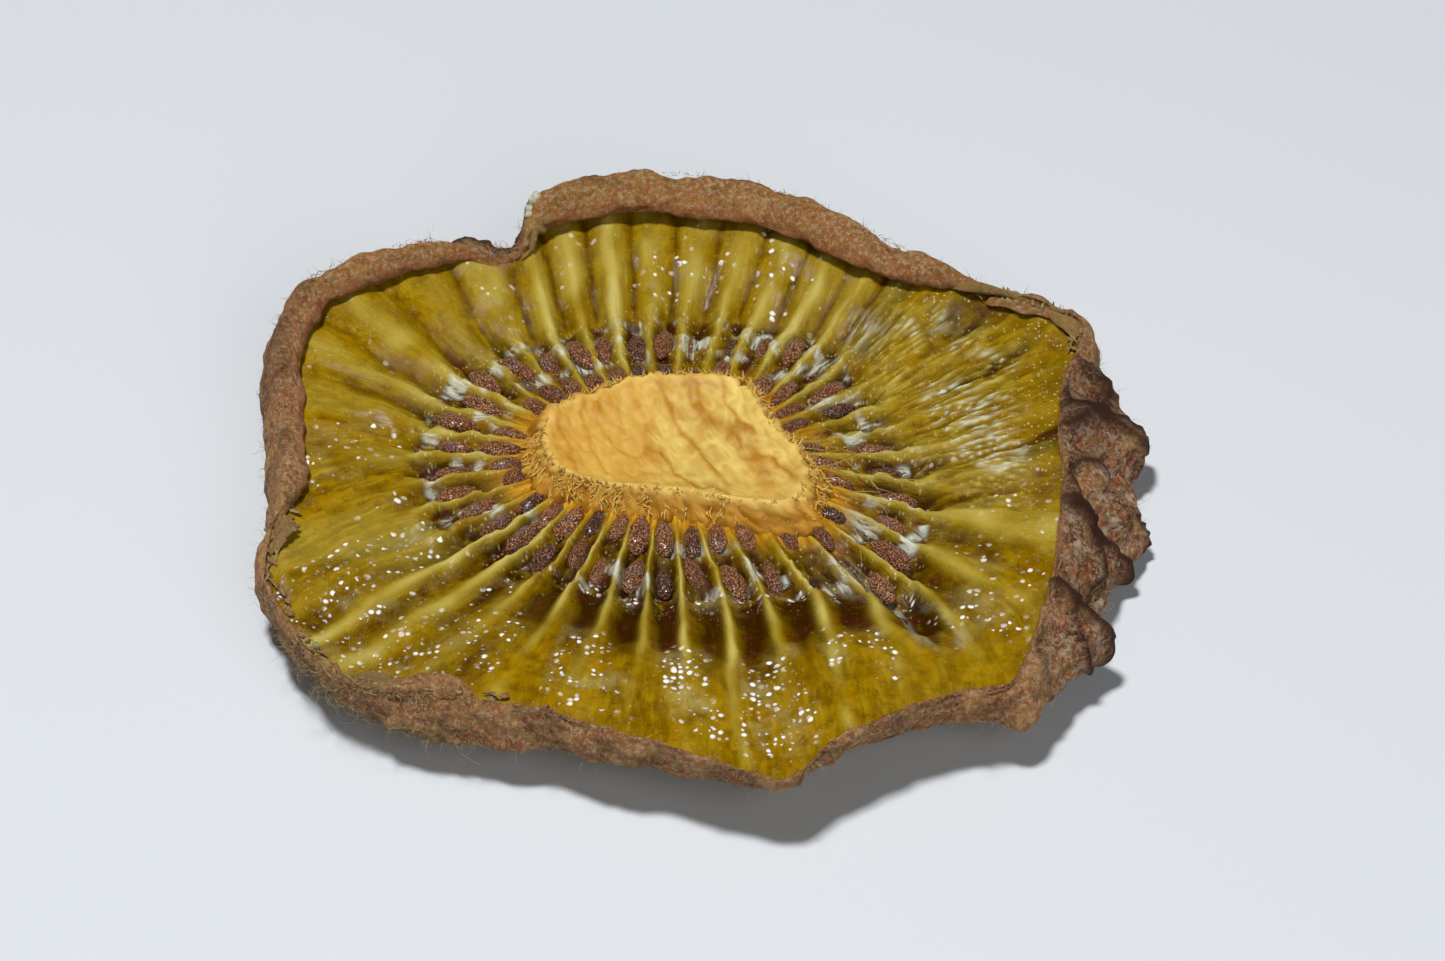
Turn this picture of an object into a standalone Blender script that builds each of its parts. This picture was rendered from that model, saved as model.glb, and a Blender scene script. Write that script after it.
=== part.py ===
"""A dried slice of kiwi fruit with its peel on, lying on one cut face.

One solid: the slice has a pale core, a seed bed of thin-walled chambers round it, and ribbed flesh
that rises like a shallow bowl to a band of peel. The peel curls in over the flesh at the back and
the left, hangs as a narrow edge at the front and flares out as a skirt at the right. Seeds are fused
to the bed. Lengths are in millimetres and bearings in degrees, counterclockwise from +X.
"""

import math
import random

import bmesh
import bpy
import numpy as np
from mathutils import Matrix, Vector

MM = 0.001

# Heights above the table
CORE_TOP = 4.4  # raised edge of the core
CORE_DISH = 0.5  # how far the core's middle sinks below its edge
RIB_HEIGHT = 3.4  # top of the ribs over the seed bed, from where they rise to the rim
FLESH_THICKNESS = 2.5

CHAMBERS = 38  # chambers round the core, each between two ribs
COLUMNS_PER_CHAMBER = 3
CROWDING = 2.3  # degrees by which the chambers crowd towards the front and the back
RIB_WIDTH = 0.18  # half width of a rib, as a share of a chamber
BACK_RIB_WIDTH = 0.28  # and at the back, where the ribs are broad columns
FOOT_SAG = 0.2  # depth of a chamber between its ribs at the core's foot
BED_SAG = 0.85  # at the outer end of the seed bed, where it is deepest
BACK_SAG = 0.6  # and there at the back
RIM_SAG = 0.15  # and near the rim
SAG_REACH = 0.6  # share of the flesh over which the chambers shallow out
RIM_FADE = 0.15  # share of the flesh over which they end at the rim
FRONT_RISE = 0.75  # power of the ribs' rise to the rim: below 1 it is steepest at the bed
BACK_RISE = 1.0

# Half lengths of the ellipse that turns the ribs from the core's outline to the rim's
CORE_HALF_LENGTH = 6.5
CORE_HALF_WIDTH = 4.0

# Core outline: bearing, radius
CORE = (
    (1, 5.3), (22, 4.7), (45, 5.4), (68, 4.5), (93, 4.2), (113, 4.2), (134, 4.5), (151, 5.0),
    (170, 5.6), (187, 5.8), (205, 5.4), (222, 4.5), (250, 3.7), (281, 3.8), (303, 4.9), (322, 7.5),
    (342, 7.1), (351, 6.4),
)
# Outer end of the seed bed: bearing, radius
BED = (
    (0, 11.3), (20, 10.3), (35, 10.4), (50, 11.6), (70, 10.2), (95, 9.8), (120, 10.0), (145, 11.8),
    (160, 11.8), (185, 11.6), (205, 11.3), (225, 9.8), (250, 9.4), (275, 9.5), (295, 10.6),
    (308, 12.4), (316, 15.6), (324, 13.6), (340, 13.2),
)
# Outer edge of the flesh: bearing, radius, height
RIM = (
    (0, 18.8, 4.6), (10, 19.4, 4.6), (21, 21.9, 4.6), (27, 20.4, 4.8), (34, 18.0, 5.0),
    (45, 16.3, 5.2), (60, 16.2, 5.3), (75, 16.6, 5.3), (100, 16.8, 5.4), (114, 16.7, 5.2),
    (118, 14.8, 4.9), (124, 14.6, 4.7), (130, 16.6, 5.0), (142, 18.5, 4.9), (151, 20.1, 4.7),
    (160, 19.8, 4.6), (175, 18.3, 4.4), (190, 18.0, 4.3), (197, 18.8, 4.2), (206, 20.6, 4.0),
    (225, 21.6, 4.0), (232, 21.3, 4.2), (240, 19.8, 4.6), (255, 19.2, 4.8), (270, 20.6, 4.8),
    (279, 22.2, 4.5), (284, 23.2, 4.0), (290, 21.8, 4.7), (300, 21.4, 4.8), (307, 21.9, 4.8),
    (313, 23.2, 4.6), (323, 21.5, 4.7), (340, 19.6, 4.7),
)
# Peel above the rim: bearing, reach of its lip in over the flesh, height of its crest
ROLL = (
    (33, 0.0, 0.2), (38, 1.1, 1.0), (50, 1.5, 1.3), (65, 1.6, 1.5), (90, 1.6, 1.6), (113, 1.3, 1.5),
    (117, 0.0, 0.3), (128, 0.0, 0.4), (133, 0.9, 1.2), (150, 1.1, 1.4), (180, 1.0, 1.0),
    (193, 0.9, 0.9), (198, 0.0, 0.2),
)
# Lower edge of the peel: bearing, reach outside the rim, height
HEM = (
    (0, 3.5, 1.4), (3.5, 4.8, 2.2), (10, 3.0, 2.5), (17, 1.2, 3.0), (24, 0.7, 3.2), (33, 0.5, 2.2),
    (60, 0.6, 1.4), (100, 0.6, 1.2), (115, 0.8, 1.8), (119, 2.6, 4.0), (125, 2.6, 4.0),
    (130, 1.3, 2.6), (145, 1.0, 1.4), (185, 0.8, 1.0), (202, 0.3, 1.8), (215, -0.3, 2.2),
    (230, -0.3, 2.2), (240, 1.0, 2.2), (258, 0.2, 2.7), (272, -0.3, 2.9), (283, -0.8, 3.0),
    (292, -0.5, 3.2), (303, 0.2, 3.4), (309, 0.4, 3.2), (313, 1.3, 2.3), (316, 1.4, 3.2),
    (320, 1.9, 2.7), (327, 2.7, 2.3), (341, 2.7, 1.6), (344, 3.4, 1.4), (355, 4.2, 1.2),
)
# Points of the lip's section: reach out from the rim, the same for each mm of roll,
# height above the rim, the same for each mm of crest
LIP = (
    (0.06, -0.35, 0.06, 0.10),  # where its underside meets the flesh
    (0.12, -1.00, 0.12, 0.08),  # its lower edge
    (0.20, -0.90, 0.16, 0.60),  # its upper edge
    (0.35, -0.15, 0.12, 1.00),  # its crest
)

PEEL_THICKNESS = 0.7
PEEL_BULGE = 0.125  # outward bulge of the peel between crest and hem, as a share of that distance
PEEL_CRUMPLE = 0.12  # unevenness of the peel
SKIRT_CRUMPLE = 0.35  # and of the part of it that flares out
SKIRT_FROM = 1.3  # reach of the hem where the peel starts to flare
SKIRT_FULL = 2.5  # and where it is a full skirt
CRUMPLE_WAVES = 5
CRUMPLE_COUNTS = (13, 37)  # fewest and most crests of a wave round the slice
CRUMPLE_TWIST = 5  # most that a wave turns, in radians, on its way down the wall
CRUMPLE_DRAW = 5  # start of the seeded draw of the waves
HANGING_FROM = 2.6  # length of the peel's wall from which it hangs free of the underside
HANGING_FULL = 4.6
HANGING_SHARE = 0.75  # of the wall, opposite the middle of the hanging peel's inside
ROOT_INSET = 0.9  # least distance in from the rim to where the peel meets the underside
ROOT_CLEARANCE = 0.4  # and from the inside of the hem
ROOT_RISE = 0.05  # least height of that place above the inside of the hem
UNDERSIDE_CURVE = 1.3  # power of the underside's rise from the resting face to the peel

# Where the section's points lie, from the core's middle out to the hem
CORE_SHARES = (0.45, 0.8, 0.97)  # of the core's radius
BED_SHARES = (0.1, 0.35, 0.65, 0.95)  # of the seed bed
FLESH_SHARES = (0.1, 0.22, 0.36, 0.52, 0.7, 0.88, 1.0)  # of the flesh outside the bed
WALL_SHARES = (0.25, 0.6, 0.85)  # of the peel from its crest to its hem
UNDERSIDE_SHARES = (0.55, 0.0)  # of the underside, from the peel in to the resting face
REST_SHARE = 0.6  # of the bed, out to which the slice rests on the table

SEED_LENGTH = 2.2
SEED_WIDTH = 1.3
SEED_THICKNESS = 1.0
SEED_LIFT = 0.25  # how far a seed's middle stands above the chamber's floor
SEED_GAP = 1.0  # least distance between the middles of two seeds
SEED_ROWS = ((0.3, 0.96), (0.74, 0.94))  # share of the bed, and how often a chamber has a seed there
SEED_SIDES = 5
SEED_RINGS = 4
SEED_DRIFT = 0.12  # how far a seed stands off the middle of its chamber, as a share of the chamber
SEED_SHIFT = 0.09  # and off its row, as a share of the bed
SEED_SIZES = (0.86, 1.12)
SEED_AIM = 0.8  # place on the chamber's floor that a seed points to, as a share of its own distance
SEED_DRAW = 7  # start of the seeded draw of the seeds

FRUIT_COLOUR = (0.27, 0.20, 0.012, 1.0)
FRUIT_ROUGHNESS = 0.35


def around(rows, column, bearing, soften=1.6):
    """A column of a table at these bearings, with its corners rounded over a few degrees."""
    bearings = [row[0] for row in rows]
    values = [row[column] for row in rows]
    samples = [
        np.interp(bearing + shift * soften, bearings, values, period=360)
        for shift in (-1.5, -0.75, 0, 0.75, 1.5)
    ]
    return np.average(samples, axis=0, weights=(1, 2, 3, 2, 1))


def ease(share):
    """0 to 1 with a smooth start and end."""
    share = np.clip(share, 0, 1)
    return share * share * (3 - 2 * share)


def chamber_bearing(chamber):
    """Bearing at a place counted in chambers round the slice: whole numbers are ribs."""
    angle = 2 * math.pi * np.asarray(chamber) / CHAMBERS
    return np.degrees(angle) + CROWDING * np.sin(2 * angle)


def core_edge(bearing):
    """Plan position of the core's outline where the rib of this rim bearing starts."""
    angle = np.radians(bearing)
    turned = np.arctan2(CORE_HALF_WIDTH * np.sin(angle), CORE_HALF_LENGTH * np.cos(angle))
    radius = around(CORE, 1, np.degrees(turned), soften=3)
    return radius * np.cos(turned), radius * np.sin(turned)


def bed_share(bearing):
    """Share of a rib's length that crosses the seed bed."""
    core_radius = np.hypot(*core_edge(bearing))
    return (around(BED, 1, bearing, soften=3) - core_radius) / (around(RIM, 1, bearing) - core_radius)


def flesh_point(bearing, chamber, along):
    """A point on the flesh's upper face: along runs from 0 at the core's foot to 1 at the rim."""
    core_x, core_y = core_edge(bearing)
    angle = np.radians(bearing)
    rim_radius = around(RIM, 1, bearing)
    x = core_x + (rim_radius * np.cos(angle) - core_x) * along
    y = core_y + (rim_radius * np.sin(angle) - core_y) * along

    bed = bed_share(bearing)
    in_bed = np.clip(along / bed, 0, 1)
    in_flesh = np.clip((along - bed) / (1 - bed), 0, 1)
    back = ease(0.5 + np.sin(angle))
    from_rib = np.abs(chamber - np.round(chamber))
    rib = np.exp(-((from_rib / (RIB_WIDTH + (BACK_RIB_WIDTH - RIB_WIDTH) * back)) ** 2))

    rise = in_flesh ** (FRONT_RISE + (BACK_RISE - FRONT_RISE) * back)
    crest = RIB_HEIGHT + (around(RIM, 2, bearing) - RIB_HEIGHT) * rise
    deepest = BED_SAG + (BACK_SAG - BED_SAG) * back
    sag = FOOT_SAG + (deepest - FOOT_SAG) * in_bed + (RIM_SAG - deepest) * ease(in_flesh / SAG_REACH)
    return x, y, crest - sag * (1 - rib) * ease((1 - in_flesh) / RIM_FADE)


def core_point(bearing, share):
    """A point on the core's dished top."""
    core_x, core_y = core_edge(bearing)
    height = CORE_TOP - CORE_DISH * (1 - share**2)
    return core_x * share, core_y * share, height + 0 * bearing


def crumple(bearing, share):
    """Unevenness of the peel's wall, between about -1 and 1, from a few waves that run round it."""
    draw = random.Random(CRUMPLE_DRAW)
    waves = []
    for _ in range(CRUMPLE_WAVES):
        turned = draw.randint(*CRUMPLE_COUNTS) * np.radians(bearing) + draw.uniform(0, 2 * math.pi)
        waves.append(np.sin(turned + draw.uniform(-CRUMPLE_TWIST, CRUMPLE_TWIST) * share))
    return sum(waves) * 2 / CRUMPLE_WAVES


def peel_section(bearing):
    """Radius and height of the peel's points, from the flesh's edge over the lip to the hem and in below."""
    radius, height = around(RIM, 1, bearing), around(RIM, 2, bearing)
    roll, crest = around(ROLL, 1, bearing), around(ROLL, 2, bearing)
    reach, hem_height = around(HEM, 1, bearing), around(HEM, 2, bearing)
    lip = [
        np.array([radius + out + out_by_roll * roll, height + up + up_by_crest * crest])
        for out, out_by_roll, up, up_by_crest in LIP
    ]
    top = lip[-1]
    hem = np.array([radius + reach, hem_height])
    wall = hem - top
    length = np.hypot(*wall)
    outward = np.array([-wall[1], wall[0]]) / length
    flare = ease((reach - SKIRT_FROM) / (SKIRT_FULL - SKIRT_FROM))
    roughness = PEEL_CRUMPLE + (SKIRT_CRUMPLE - PEEL_CRUMPLE) * flare

    def on_wall(share):
        bulge = PEEL_BULGE * length + roughness * crumple(bearing, share)
        return top + wall * share + outward * bulge * 4 * share * (1 - share)

    hem_inside = hem - outward * PEEL_THICKNESS
    root = np.array([
        np.minimum(radius - ROOT_INSET, hem_inside[0] - ROOT_CLEARANCE),
        np.maximum(height - FLESH_THICKNESS, hem_inside[1] + ROOT_RISE),
    ])
    halfway = (hem_inside + root) / 2
    behind_wall = on_wall(HANGING_SHARE) - outward * PEEL_THICKNESS
    hanging = ease((length - HANGING_FROM) / (HANGING_FULL - HANGING_FROM))
    underneath = [hem, hem_inside, halfway + (behind_wall - halfway) * hanging, root]
    return lip + [on_wall(share) for share in WALL_SHARES] + underneath


def slice_rings():
    """Rings of points of the whole slice, from the core's middle over the rim to the resting face."""
    chamber = np.arange(CHAMBERS * COLUMNS_PER_CHAMBER) / COLUMNS_PER_CHAMBER
    bearing = chamber_bearing(chamber)
    angle = np.radians(bearing)
    bed = bed_share(bearing)
    rings = [core_point(bearing, share) for share in CORE_SHARES]
    rings += [flesh_point(bearing, chamber, 0.0)]
    rings += [flesh_point(bearing, chamber, bed * share) for share in BED_SHARES]
    rings += [flesh_point(bearing, chamber, bed + (1 - bed) * share) for share in FLESH_SHARES]
    section = peel_section(bearing)
    rings += [(radius * np.cos(angle), radius * np.sin(angle), height) for radius, height in section]
    rest_x, rest_y, _ = flesh_point(bearing, chamber, bed * REST_SHARE)
    root_radius, root_height = section[-1]
    for share in UNDERSIDE_SHARES:
        rings.append((
            rest_x + (root_radius * np.cos(angle) - rest_x) * share,
            rest_y + (root_radius * np.sin(angle) - rest_y) * share,
            root_height * share**UNDERSIDE_CURVE,
        ))
    return np.array(rings).transpose(0, 2, 1) * MM


def make_material():
    material = bpy.data.materials.new("dried_kiwi")
    material.use_nodes = True
    shader = material.node_tree.nodes["Principled BSDF"]
    shader.inputs["Base Color"].default_value = FRUIT_COLOUR
    shader.inputs["Roughness"].default_value = FRUIT_ROUGHNESS
    shader.inputs["Metallic"].default_value = 0.0
    return material


def make_slice():
    """The slice without its seeds: a ball whose rings are laid along the slice's section."""
    rings = slice_rings()
    columns = rings.shape[1]
    mesh = bpy.data.meshes.new("kiwi_slice")
    ball = bmesh.new()
    bmesh.ops.create_uvsphere(ball, u_segments=columns, v_segments=len(rings) + 1, radius=1)
    for vertex in ball.verts:
        ring = round(math.acos(max(-1, min(1, vertex.co.z))) / math.pi * (len(rings) + 1)) - 1
        column = round(math.atan2(vertex.co.y, vertex.co.x) / (2 * math.pi) * columns) % columns
        if ring < 0:
            vertex.co = (0, 0, (CORE_TOP - CORE_DISH) * MM)
        elif ring == len(rings):
            vertex.co = (0, 0, 0)
        else:
            vertex.co = rings[ring, column]
    bmesh.ops.triangulate(ball, faces=ball.faces)
    ball.to_mesh(mesh)
    ball.free()
    body = bpy.data.objects.new("kiwi_slice", mesh)
    bpy.context.scene.collection.objects.link(body)
    return body


def seed_places():
    """Middle, outward direction and size of each seed: one or two in most chambers, by a seeded draw."""
    draw = random.Random(SEED_DRAW)
    places = []
    for share, often in SEED_ROWS:
        for number in range(CHAMBERS):
            chamber = number + 0.5 + draw.uniform(-SEED_DRIFT, SEED_DRIFT)
            shift, size = draw.uniform(-SEED_SHIFT, SEED_SHIFT), draw.uniform(*SEED_SIZES)
            kept = draw.random()
            bearing = float(chamber_bearing(chamber))
            along = float(bed_share(bearing)) * (share + shift)
            middle = Vector(map(float, flesh_point(bearing, chamber, along)))
            inner = Vector(map(float, flesh_point(bearing, chamber, along * SEED_AIM)))
            crowded = any((middle - other).length < SEED_GAP for other, _, _ in places)
            if kept < often and not crowded:
                places.append((middle, (middle - inner).normalized(), size))
    return places


def make_seed(middle, outward, size):
    """A seed, pointed towards the core, as a ball of few sides stretched along the chamber."""
    mesh = bpy.data.meshes.new("seed")
    seed = bmesh.new()
    bmesh.ops.create_uvsphere(seed, u_segments=SEED_SIDES, v_segments=SEED_RINGS, radius=0.5)
    across = Vector((0, 0, 1)).cross(outward).normalized()
    upward = outward.cross(across)
    axes = Matrix((across * SEED_WIDTH, upward * SEED_THICKNESS, outward * SEED_LENGTH)).transposed()
    centre = middle + Vector((0, 0, SEED_LIFT))
    for vertex in seed.verts:
        vertex.co = (centre + axes @ vertex.co * size) * MM
    bmesh.ops.recalc_face_normals(seed, faces=seed.faces)
    bmesh.ops.triangulate(seed, faces=seed.faces)
    seed.to_mesh(mesh)
    seed.free()
    return bpy.data.objects.new("seed", mesh)


def fuse(body, collection):
    """Joins the collection's solids to the body and removes them."""
    union = body.modifiers.new("seeds", "BOOLEAN")
    union.operation = "UNION"
    union.operand_type = "COLLECTION"
    union.collection = collection
    union.solver = "EXACT"
    bpy.context.view_layer.update()
    graph = bpy.context.evaluated_depsgraph_get()
    joined = bpy.data.meshes.new_from_object(body.evaluated_get(graph))
    body.modifiers.clear()
    body.data = joined
    for part in list(collection.objects):
        bpy.data.objects.remove(part)
    bpy.data.collections.remove(collection)


def keep_outer_shell(body):
    """Drops scraps and sealed hollows that the join left, so that the slice is one closed skin."""
    shape = bmesh.new()
    shape.from_mesh(body.data)
    waiting, shells = set(shape.verts), []
    while waiting:
        shell, edge_of = set(), [waiting.pop()]
        while edge_of:
            vertex = edge_of.pop()
            shell.add(vertex)
            linked = {edge.other_vert(vertex) for edge in vertex.link_edges} & waiting
            waiting -= linked
            edge_of += linked
        shells.append(shell)
    largest = max(shells, key=len)
    scraps = [vertex for shell in shells if shell is not largest for vertex in shell]
    bmesh.ops.delete(shape, geom=scraps, context="VERTS")
    bmesh.ops.triangulate(shape, faces=shape.faces)
    shape.to_mesh(body.data)
    shape.free()


def main():
    for old in list(bpy.data.objects):
        bpy.data.objects.remove(old)
    body = make_slice()
    seeds = bpy.data.collections.new("seeds")
    bpy.context.scene.collection.children.link(seeds)
    for middle, outward, size in seed_places():
        seeds.objects.link(make_seed(middle, outward, size))
    fuse(body, seeds)
    keep_outer_shell(body)
    body.data.materials.clear()
    body.data.materials.append(make_material())


main()
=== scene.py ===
"""Looks of a dried slice of kiwi fruit with its peel on.

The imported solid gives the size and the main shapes. The pieces here stand for it in full detail:
flesh, core, peel, seeds, the fibres round the core, and the hairs, torn strips and crumbs of the peel.
Lengths are in millimetres and bearings in degrees, counterclockwise from +X seen from above.
"""

import math
import random
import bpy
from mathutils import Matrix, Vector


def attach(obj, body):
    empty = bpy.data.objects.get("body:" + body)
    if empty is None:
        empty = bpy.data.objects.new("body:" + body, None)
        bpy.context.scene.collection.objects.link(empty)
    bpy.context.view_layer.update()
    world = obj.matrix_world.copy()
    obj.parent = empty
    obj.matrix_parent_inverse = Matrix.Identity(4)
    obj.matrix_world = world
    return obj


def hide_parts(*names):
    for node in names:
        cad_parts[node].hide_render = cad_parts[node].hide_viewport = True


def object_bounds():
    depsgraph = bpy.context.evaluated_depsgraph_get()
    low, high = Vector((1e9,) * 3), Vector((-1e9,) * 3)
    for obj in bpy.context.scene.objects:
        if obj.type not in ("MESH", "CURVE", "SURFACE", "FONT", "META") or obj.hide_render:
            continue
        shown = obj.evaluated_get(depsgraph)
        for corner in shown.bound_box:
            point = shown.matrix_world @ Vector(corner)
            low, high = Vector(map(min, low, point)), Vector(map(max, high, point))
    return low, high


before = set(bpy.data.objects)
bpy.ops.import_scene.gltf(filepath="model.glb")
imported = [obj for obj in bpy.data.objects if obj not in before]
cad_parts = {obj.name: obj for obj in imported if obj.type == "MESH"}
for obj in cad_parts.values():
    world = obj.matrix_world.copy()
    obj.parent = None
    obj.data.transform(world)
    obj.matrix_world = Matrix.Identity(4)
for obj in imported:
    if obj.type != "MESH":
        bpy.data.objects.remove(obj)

from types import SimpleNamespace

import bmesh
import bpy
import numpy as np
from mathutils import Matrix, Vector

CAD_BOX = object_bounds()
MM = 0.001

# ---------------------------------------------------------------- layout, the same as the solid's

CORE_TOP = 4.4  # height of the core's raised edge
CORE_DISH = 0.5  # how far the core's middle sinks below it
RIB_HEIGHT = 3.4  # top of the ribs over the seed bed, from where they rise to the rim
FLESH_THICKNESS = 2.5

CHAMBERS = 38  # chambers round the core, each between two ribs
CROWDING = 2.3  # degrees by which the chambers crowd towards the front and the back
RIB_WIDTH = 0.18  # half width of a rib, as a share of a chamber
BACK_RIB_WIDTH = 0.28  # and at the back, where the ribs are broad columns
FOOT_SAG = 0.2  # depth of a chamber between its ribs at the core's foot
BED_SAG = 0.85  # at the outer end of the seed bed, where it is deepest
BACK_SAG = 0.6  # and there at the back
RIM_SAG = 0.15  # and near the rim
SAG_REACH = 0.6  # share of the flesh over which the chambers shallow out
RIM_FADE = 0.15  # share of the flesh over which they end at the rim
FRONT_RISE = 0.75  # power of the ribs' rise to the rim: below 1 it is steepest at the bed
BACK_RISE = 1.0

# Half lengths of the ellipse that turns the ribs from the core's outline to the rim's
CORE_HALF_LENGTH = 6.5
CORE_HALF_WIDTH = 4.0

# Core outline: bearing, radius
CORE = (
    (1, 5.3), (22, 4.7), (45, 5.4), (68, 4.5), (93, 4.2), (113, 4.2), (134, 4.5), (151, 5.0),
    (170, 5.6), (187, 5.8), (205, 5.4), (222, 4.5), (250, 3.7), (281, 3.8), (303, 4.9), (322, 7.5),
    (342, 7.1), (351, 6.4),
)
# Turns points on the core so that a pattern laid on them is drawn out across it, at a slant
CORE_COMBING = ((0.96, 0.10, 0), (0.29, -0.35, 0), (0, 0, 1))
# Outer end of the seed bed: bearing, radius
BED = (
    (0, 11.3), (20, 10.3), (35, 10.4), (50, 11.6), (70, 10.2), (95, 9.8), (120, 10.0), (145, 11.8),
    (160, 11.8), (185, 11.6), (205, 11.3), (225, 9.8), (250, 9.4), (275, 9.5), (295, 10.6),
    (308, 12.4), (316, 15.6), (324, 13.6), (340, 13.2),
)
# Outer edge of the flesh: bearing, radius, height
RIM = (
    (0, 18.8, 4.6), (10, 19.4, 4.6), (21, 21.9, 4.6), (27, 20.4, 4.8), (34, 18.0, 5.0),
    (45, 16.3, 5.2), (60, 16.2, 5.3), (75, 16.6, 5.3), (100, 16.8, 5.4), (114, 16.7, 5.2),
    (118, 14.8, 4.9), (124, 14.6, 4.7), (130, 16.6, 5.0), (142, 18.5, 4.9), (151, 20.1, 4.7),
    (160, 19.8, 4.6), (175, 18.3, 4.4), (190, 18.0, 4.3), (197, 18.8, 4.2), (206, 20.6, 4.0),
    (225, 21.6, 4.0), (232, 21.3, 4.2), (240, 19.8, 4.6), (255, 19.2, 4.8), (270, 20.6, 4.8),
    (279, 22.2, 4.5), (284, 23.2, 4.0), (290, 21.8, 4.7), (300, 21.4, 4.8), (307, 21.9, 4.8),
    (313, 23.2, 4.6), (323, 21.5, 4.7), (340, 19.6, 4.7),
)
# Peel above the rim: bearing, reach of its lip in over the flesh, height of its crest
ROLL = (
    (33, 0.0, 0.2), (38, 1.1, 1.0), (50, 1.5, 1.3), (65, 1.6, 1.5), (90, 1.6, 1.6), (113, 1.3, 1.5),
    (117, 0.0, 0.3), (128, 0.0, 0.4), (133, 0.9, 1.2), (150, 1.1, 1.4), (180, 1.0, 1.0),
    (193, 0.9, 0.9), (198, 0.0, 0.2),
)
# Lower edge of the peel: bearing, reach outside the rim, height
HEM = (
    (0, 3.5, 1.4), (3.5, 4.8, 2.2), (10, 3.0, 2.5), (17, 1.2, 3.0), (24, 0.7, 3.2), (33, 0.5, 2.2),
    (60, 0.6, 1.4), (100, 0.6, 1.2), (115, 0.8, 1.8), (119, 2.6, 4.0), (125, 2.6, 4.0),
    (130, 1.3, 2.6), (145, 1.0, 1.4), (185, 0.8, 1.0), (202, 0.3, 1.8), (215, -0.3, 2.2),
    (230, -0.3, 2.2), (240, 1.0, 2.2), (258, 0.2, 2.7), (272, -0.3, 2.9), (283, -0.8, 3.0),
    (292, -0.5, 3.2), (303, 0.2, 3.4), (309, 0.4, 3.2), (313, 1.3, 2.3), (316, 1.4, 3.2),
    (320, 1.9, 2.7), (327, 2.7, 2.3), (341, 2.7, 1.6), (344, 3.4, 1.4), (355, 4.2, 1.2),
)
# Lean of the ribs from the seed bed to the rim: bearing, degrees by which they turn on the way
LEAN = (
    (0, 7), (12, 7), (60, 0), (90, -2), (115, -4), (140, -2), (165, 0), (190, 8), (205, 9), (215, 1),
    (225, -5), (235, -4), (250, 0), (268, 0), (280, -4), (292, -8), (315, -9), (325, -6), (335, 0),
    (345, 4),
)
# Parts of the flesh that dried in different ways: first bearing, last bearing, degrees of fading outside them
PARTS = {
    "front": (244, 316, 16),
    "lower_left": (212, 240, 16),
    "left": (172, 208, 16),
    "upper_left": (134, 162, 16),
    "back": (50, 124, 16),
    "middle_back": (56, 92, 12),
    "right": (-8, 36, 18),
    "lower_right": (319, 342, 10),
}
# Single spots of the slice, each with its bearing and its reach to either side
STAIN = (49, 11)  # dark spot of the seed bed
TEAR = (313, 6)  # rent in the flesh beyond the seed bed
# A painted silvery sheen lies on this membrane
SILVERY_RENT = (43, 8)  # membrane that shows behind the stain
HAIRY_EDGE = (228, 30)  # where the peel's hairs are thickest
TANGLE = (228, 26)  # and where they are long and tangled
CRUMPLED_EDGE = (238, 14)  # where the peel is crumpled like paper
FRAYED_EDGES = ((26, 13), (115, 6), (201, 12), (228, 16))
CRUMBLING_EDGES = ((222, 34), (28, 15), (200, 9), (115, 5))
PEEL_FOLDS = ((329, 1.8), (344, 1.8), (5, 1.8))  # sharp folds down the flared side of the peel
BLEACHED_TUFT = (113, 113.8, 114.6, 115.2)  # bearings of the pale lumps at the left end of the back's roll
# Torn strips of peel that fold in over the flesh: first bearing, last bearing, reach out from the rim,
# reach in from it, rise above it, how pale and frayed the strip is
STRIPS = (
    (197, 203, 0.3, 1.0, 0.6, 0.6), (228, 235, 0.3, 0.7, 0.4, 0.7), (232, 244, 0.3, 1.1, 0.55, 0.0),
    (19, 25, 0.3, 0.8, 0.4, 0.6), (23, 31, 0.2, 1.4, 0.5, 0.1), (28, 36, 0.5, 0.8, 0.8, 0.8),
    (112.5, 117.5, 0.3, 0.8, 0.5, 0.9),
)
# Points of the lip's section: reach out from the rim, the same for each mm of roll,
# height above the rim, the same for each mm of crest
LIP = (
    (0.06, -0.35, 0.06, 0.10),  # where its underside meets the flesh
    (0.12, -1.00, 0.12, 0.08),  # its lower edge
    (0.20, -0.90, 0.16, 0.60),  # its upper edge
    (0.35, -0.15, 0.12, 1.00),  # its crest
)

PEEL_THICKNESS = 0.4  # of the dry skin, thinner than in the solid
PEEL_BULGE = 0.125  # outward bulge of the peel between crest and hem, as a share of that distance
PEEL_CRUMPLE = 0.12  # unevenness of the peel
SKIRT_CRUMPLE = 0.35  # and of the part of it that flares out
SKIRT_FROM = 1.3  # reach of the hem where the peel starts to flare
SKIRT_FULL = 2.5  # and where it is a full skirt
CRUMPLE_WAVES = 5
HANGING_FROM = 2.6  # length of the peel's wall from which it hangs free of the underside
HANGING_FULL = 4.6
UNDERSIDE_CURVE = 1.3  # power of the underside's rise from the resting face to the peel
WALL_SHARES = (0.25, 0.6, 0.85)  # places of the section's points from the crest to the hem

SEED_LENGTH = 2.2
SEED_WIDTH = 1.3
SEED_THICKNESS = 1.0
SEED_LIFT = 0.25  # how far a seed's middle stands above the chamber's floor
SEED_GAP = 1.0  # least distance between the middles of two seeds
SEED_ROWS = ((0.3, 0.96), (0.74, 0.94))  # share of the bed, and how often a chamber has a seed there
WET_SEEDS = 0.22  # share of the seeds that lie under dried juice
DRY_SEED_SINK = 0.18  # how much deeper than the solid's a dry seed lies
WET_SEED_SINK = 0.28

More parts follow.
